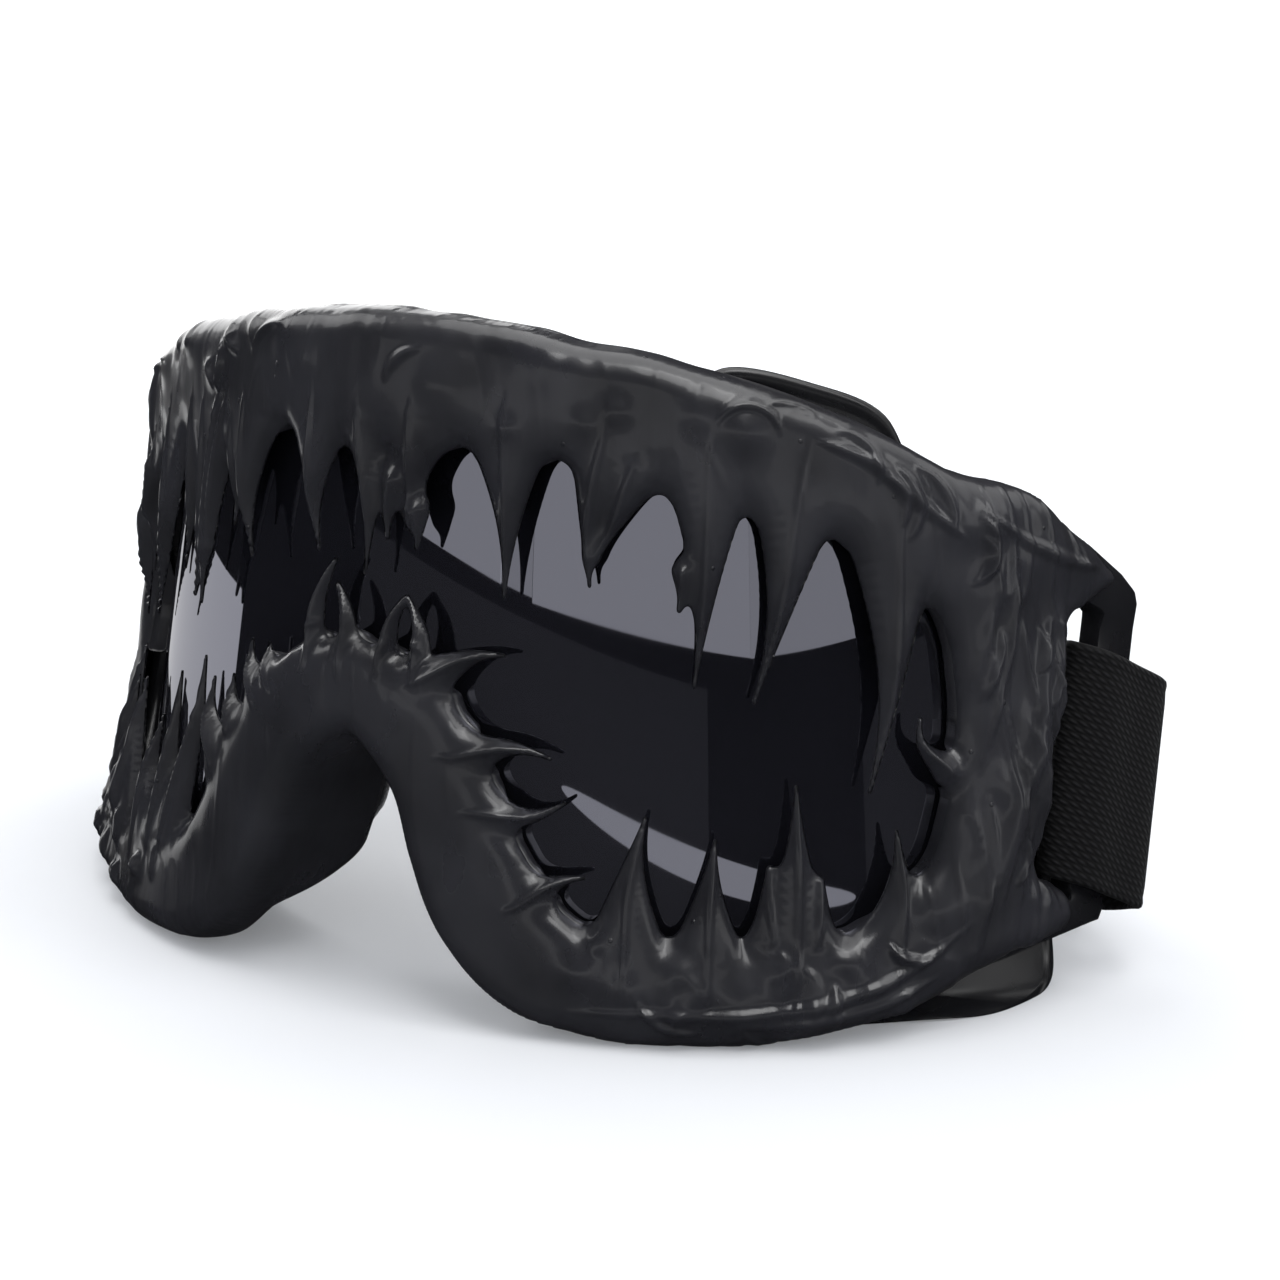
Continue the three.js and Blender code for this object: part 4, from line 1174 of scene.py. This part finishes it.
def slider_piece(name, node, body):
    """The CAD slider's own form, copied and given rounded edges."""
    piece = placed(name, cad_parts[node].data.copy())
    piece.data.materials.clear()
    piece.data.materials.append(LOOKS["slider_plastic"])
    merge = piece.modifiers.new("merge", "WELD")
    merge.merge_threshold = 0.01 * MM
    rounding = piece.modifiers.new("rounding", "BEVEL")
    rounding.width = 0.55 * MM
    rounding.segments = 3
    rounding.limit_method = "ANGLE"
    rounding.angle_limit = math.radians(30)
    apply_modifiers(piece)
    piece.data.polygons.foreach_set("use_smooth", [True] * len(piece.data.polygons))
    auto_smooth(piece, 40)
    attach(piece, body)
    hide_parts(node)


slider_piece("slider_buckle_left", "strap_slider_left", "slider_left")
slider_piece("slider_buckle_right", "strap_slider_right", "slider_right")


# ---------------- camera, floor and lights

LIGHT_AIM = Vector((0, 0, 0.05))
CAMERA_AIM = Vector((0.0299, -0.01899, 0.0523))
CAMERA_DISTANCE = 0.39466


def direction(azimuth, elevation):
    """Unit vector to a place seen from the goggles; azimuth 0 is straight in front."""
    a, e = math.radians(azimuth), math.radians(elevation)
    return Vector((math.sin(a) * math.cos(e), -math.cos(a) * math.cos(e), math.sin(e)))


def studio_camera():
    back = direction(33.2, 12.7)
    roll = Matrix.Rotation(math.radians(0.68), 4, "Z")
    data = bpy.data.cameras.new("camera")
    data.sensor_width = 36
    data.lens = 74.11
    data.clip_start = 0.01
    camera = placed("camera", data)
    place = Matrix.Translation(CAMERA_AIM + back * CAMERA_DISTANCE)
    camera.matrix_world = place @ back.to_track_quat("Z", "Y").to_matrix().to_4x4() @ roll
    bpy.context.scene.camera = camera


def painted_glow_floor_look():
    """Pale and matt, with a painted glow of its own that grows away from the middle: painted light on the
    floor and backdrop, and painted shade on the floor round the goggles, where it glows least.
    """
    material = plain_look("floor_painted_glow", (0.56, 0.57, 0.59), 0.9, Emission_Color=(0.95, 0.97, 1.0, 1))
    coordinates = add_node(material, "ShaderNodeTexCoord")
    distance = add_node(material, "ShaderNodeVectorMath", operation="LENGTH")
    connect(material, coordinates.outputs["Object"], distance.inputs[0])
    # Painted glow by distance from the middle: dimmest round the goggles, which paints shade on the floor
    # there
    glow = map_range(material, distance.outputs["Value"], (0.15, 1.0), (0.15, 0.70))
    connect(material, glow.outputs["Result"], principled(material).inputs["Emission Strength"])
    return material


def studio_bowl():
    """A pale floor that curves up into a round backdrop, in metres."""
    flat, bend, wall = 1.3, 0.9, 1.2
    profile = [(r, 0.0) for r in (0.3, 0.8, flat)]
    for a in np.linspace(0.15, math.pi / 2, 10):
        profile.append((flat + bend * math.sin(a), bend * (1 - math.cos(a))))
    profile.append((flat + bend, bend + wall))
    turns = np.arange(64) * math.pi / 32
    rings = [[(r * math.cos(a), r * math.sin(a), height) for a in turns] for r, height in profile]
    points, faces = skin(np.array(rings), False)
    mesh = bpy.data.meshes.new("studio_floor")
    mesh.from_pydata(points.tolist(), [], faces[:-1])
    mesh.polygons.foreach_set("use_smooth", [True] * len(mesh.polygons))
    mesh.materials.append(painted_glow_floor_look())
    floor = placed("studio_floor", mesh)
    floor.visible_glossy = False


def lamp(name, place, size, brightness):
    """A rectangular lamp that the camera doesn't see; brightness is the light it sends per area."""
    data = bpy.data.lights.new(name, "AREA")
    data.shape = "RECTANGLE"
    data.size, data.size_y = size
    data.energy = brightness * math.pi * size[0] * size[1]
    panel = placed(name, data)
    panel.location = place
    panel.visible_camera = False
    return panel


def softbox(name, azimuth, elevation, distance, size, brightness):
    """A lamp that faces a point above the middle of the floor."""
    place = LIGHT_AIM + distance * direction(azimuth, elevation)
    panel = lamp(name, place, size, brightness)
    panel.rotation_euler = (LIGHT_AIM - place).to_track_quat("-Z", "Y").to_euler()


def upright_card(name, azimuth, distance, width, low, high, brightness):
    """A lamp standing upright between two heights, facing the goggles."""
    place = distance * direction(azimuth, 0) + Vector((0, 0, (low + high) / 2))
    panel = lamp(name, place, (width, high - low), brightness)
    panel.rotation_euler = (math.pi / 2, 0, math.radians(azimuth))
    return panel


def studio_lights():
    """Lamps round the goggles; the front and low cards are what the lens reflects."""
    softbox("top_softbox", 180, 84, 1.25, (1.2, 1.2), 2.5)
    front_cards = ((-19, 0.533, 0.66), (-2.5, 0.142, 0.58), (23.5, 0.952, 0.66), (69.5, 1.0, 0.6))
    for azimuth, width, brightness in front_cards:
        upright_card(f"front_card_{azimuth}", azimuth, 1.15, width, 0.098, 0.27, brightness)
    low_card = upright_card("low_card", 38, 0.5, 0.54, -0.0005, 0.0105, 0.52)
    low_card.data.shape = "ELLIPSE"
    low_card.rotation_euler.rotate_axis("Z", math.radians(-2.9))
    upright_card("left_card", -100, 0.55, 0.5, -0.07, 0.012, 0.95)
    upright_card("left_rear_card", -122, 1.2, 1.1, 0.05, 1.0, 2.6)
    upright_card("right_card", 104, 1.2, 0.5, 0.09, 0.9, 0.9)
    softbox("key_light", 52, 58, 1.2, (0.55, 0.55), 5.0)
    softbox("left_light", -75, 40, 1.2, (0.6, 0.6), 2.4)
    softbox("right_light", 95, 50, 1.2, (0.35, 0.8), 3.2)
    softbox("rear_light", 150, 40, 1.2, (0.8, 0.8), 1.0)
    upright_card("dim_card_front", -1.5, 1.3, 2.07, -0.8, 0.088, 0.03)
    upright_card("dim_card_side", 81, 1.3, 0.6, -0.8, 0.088, 0.03)
    world = bpy.data.worlds.new("studio")
    world.use_nodes = True
    world.node_tree.nodes["Background"].inputs["Color"].default_value = (0.016, 0.016, 0.018, 1)
    bpy.context.scene.world = world
    bpy.context.scene.view_settings.view_transform = "Standard"


studio_camera()
studio_bowl()
studio_lights()
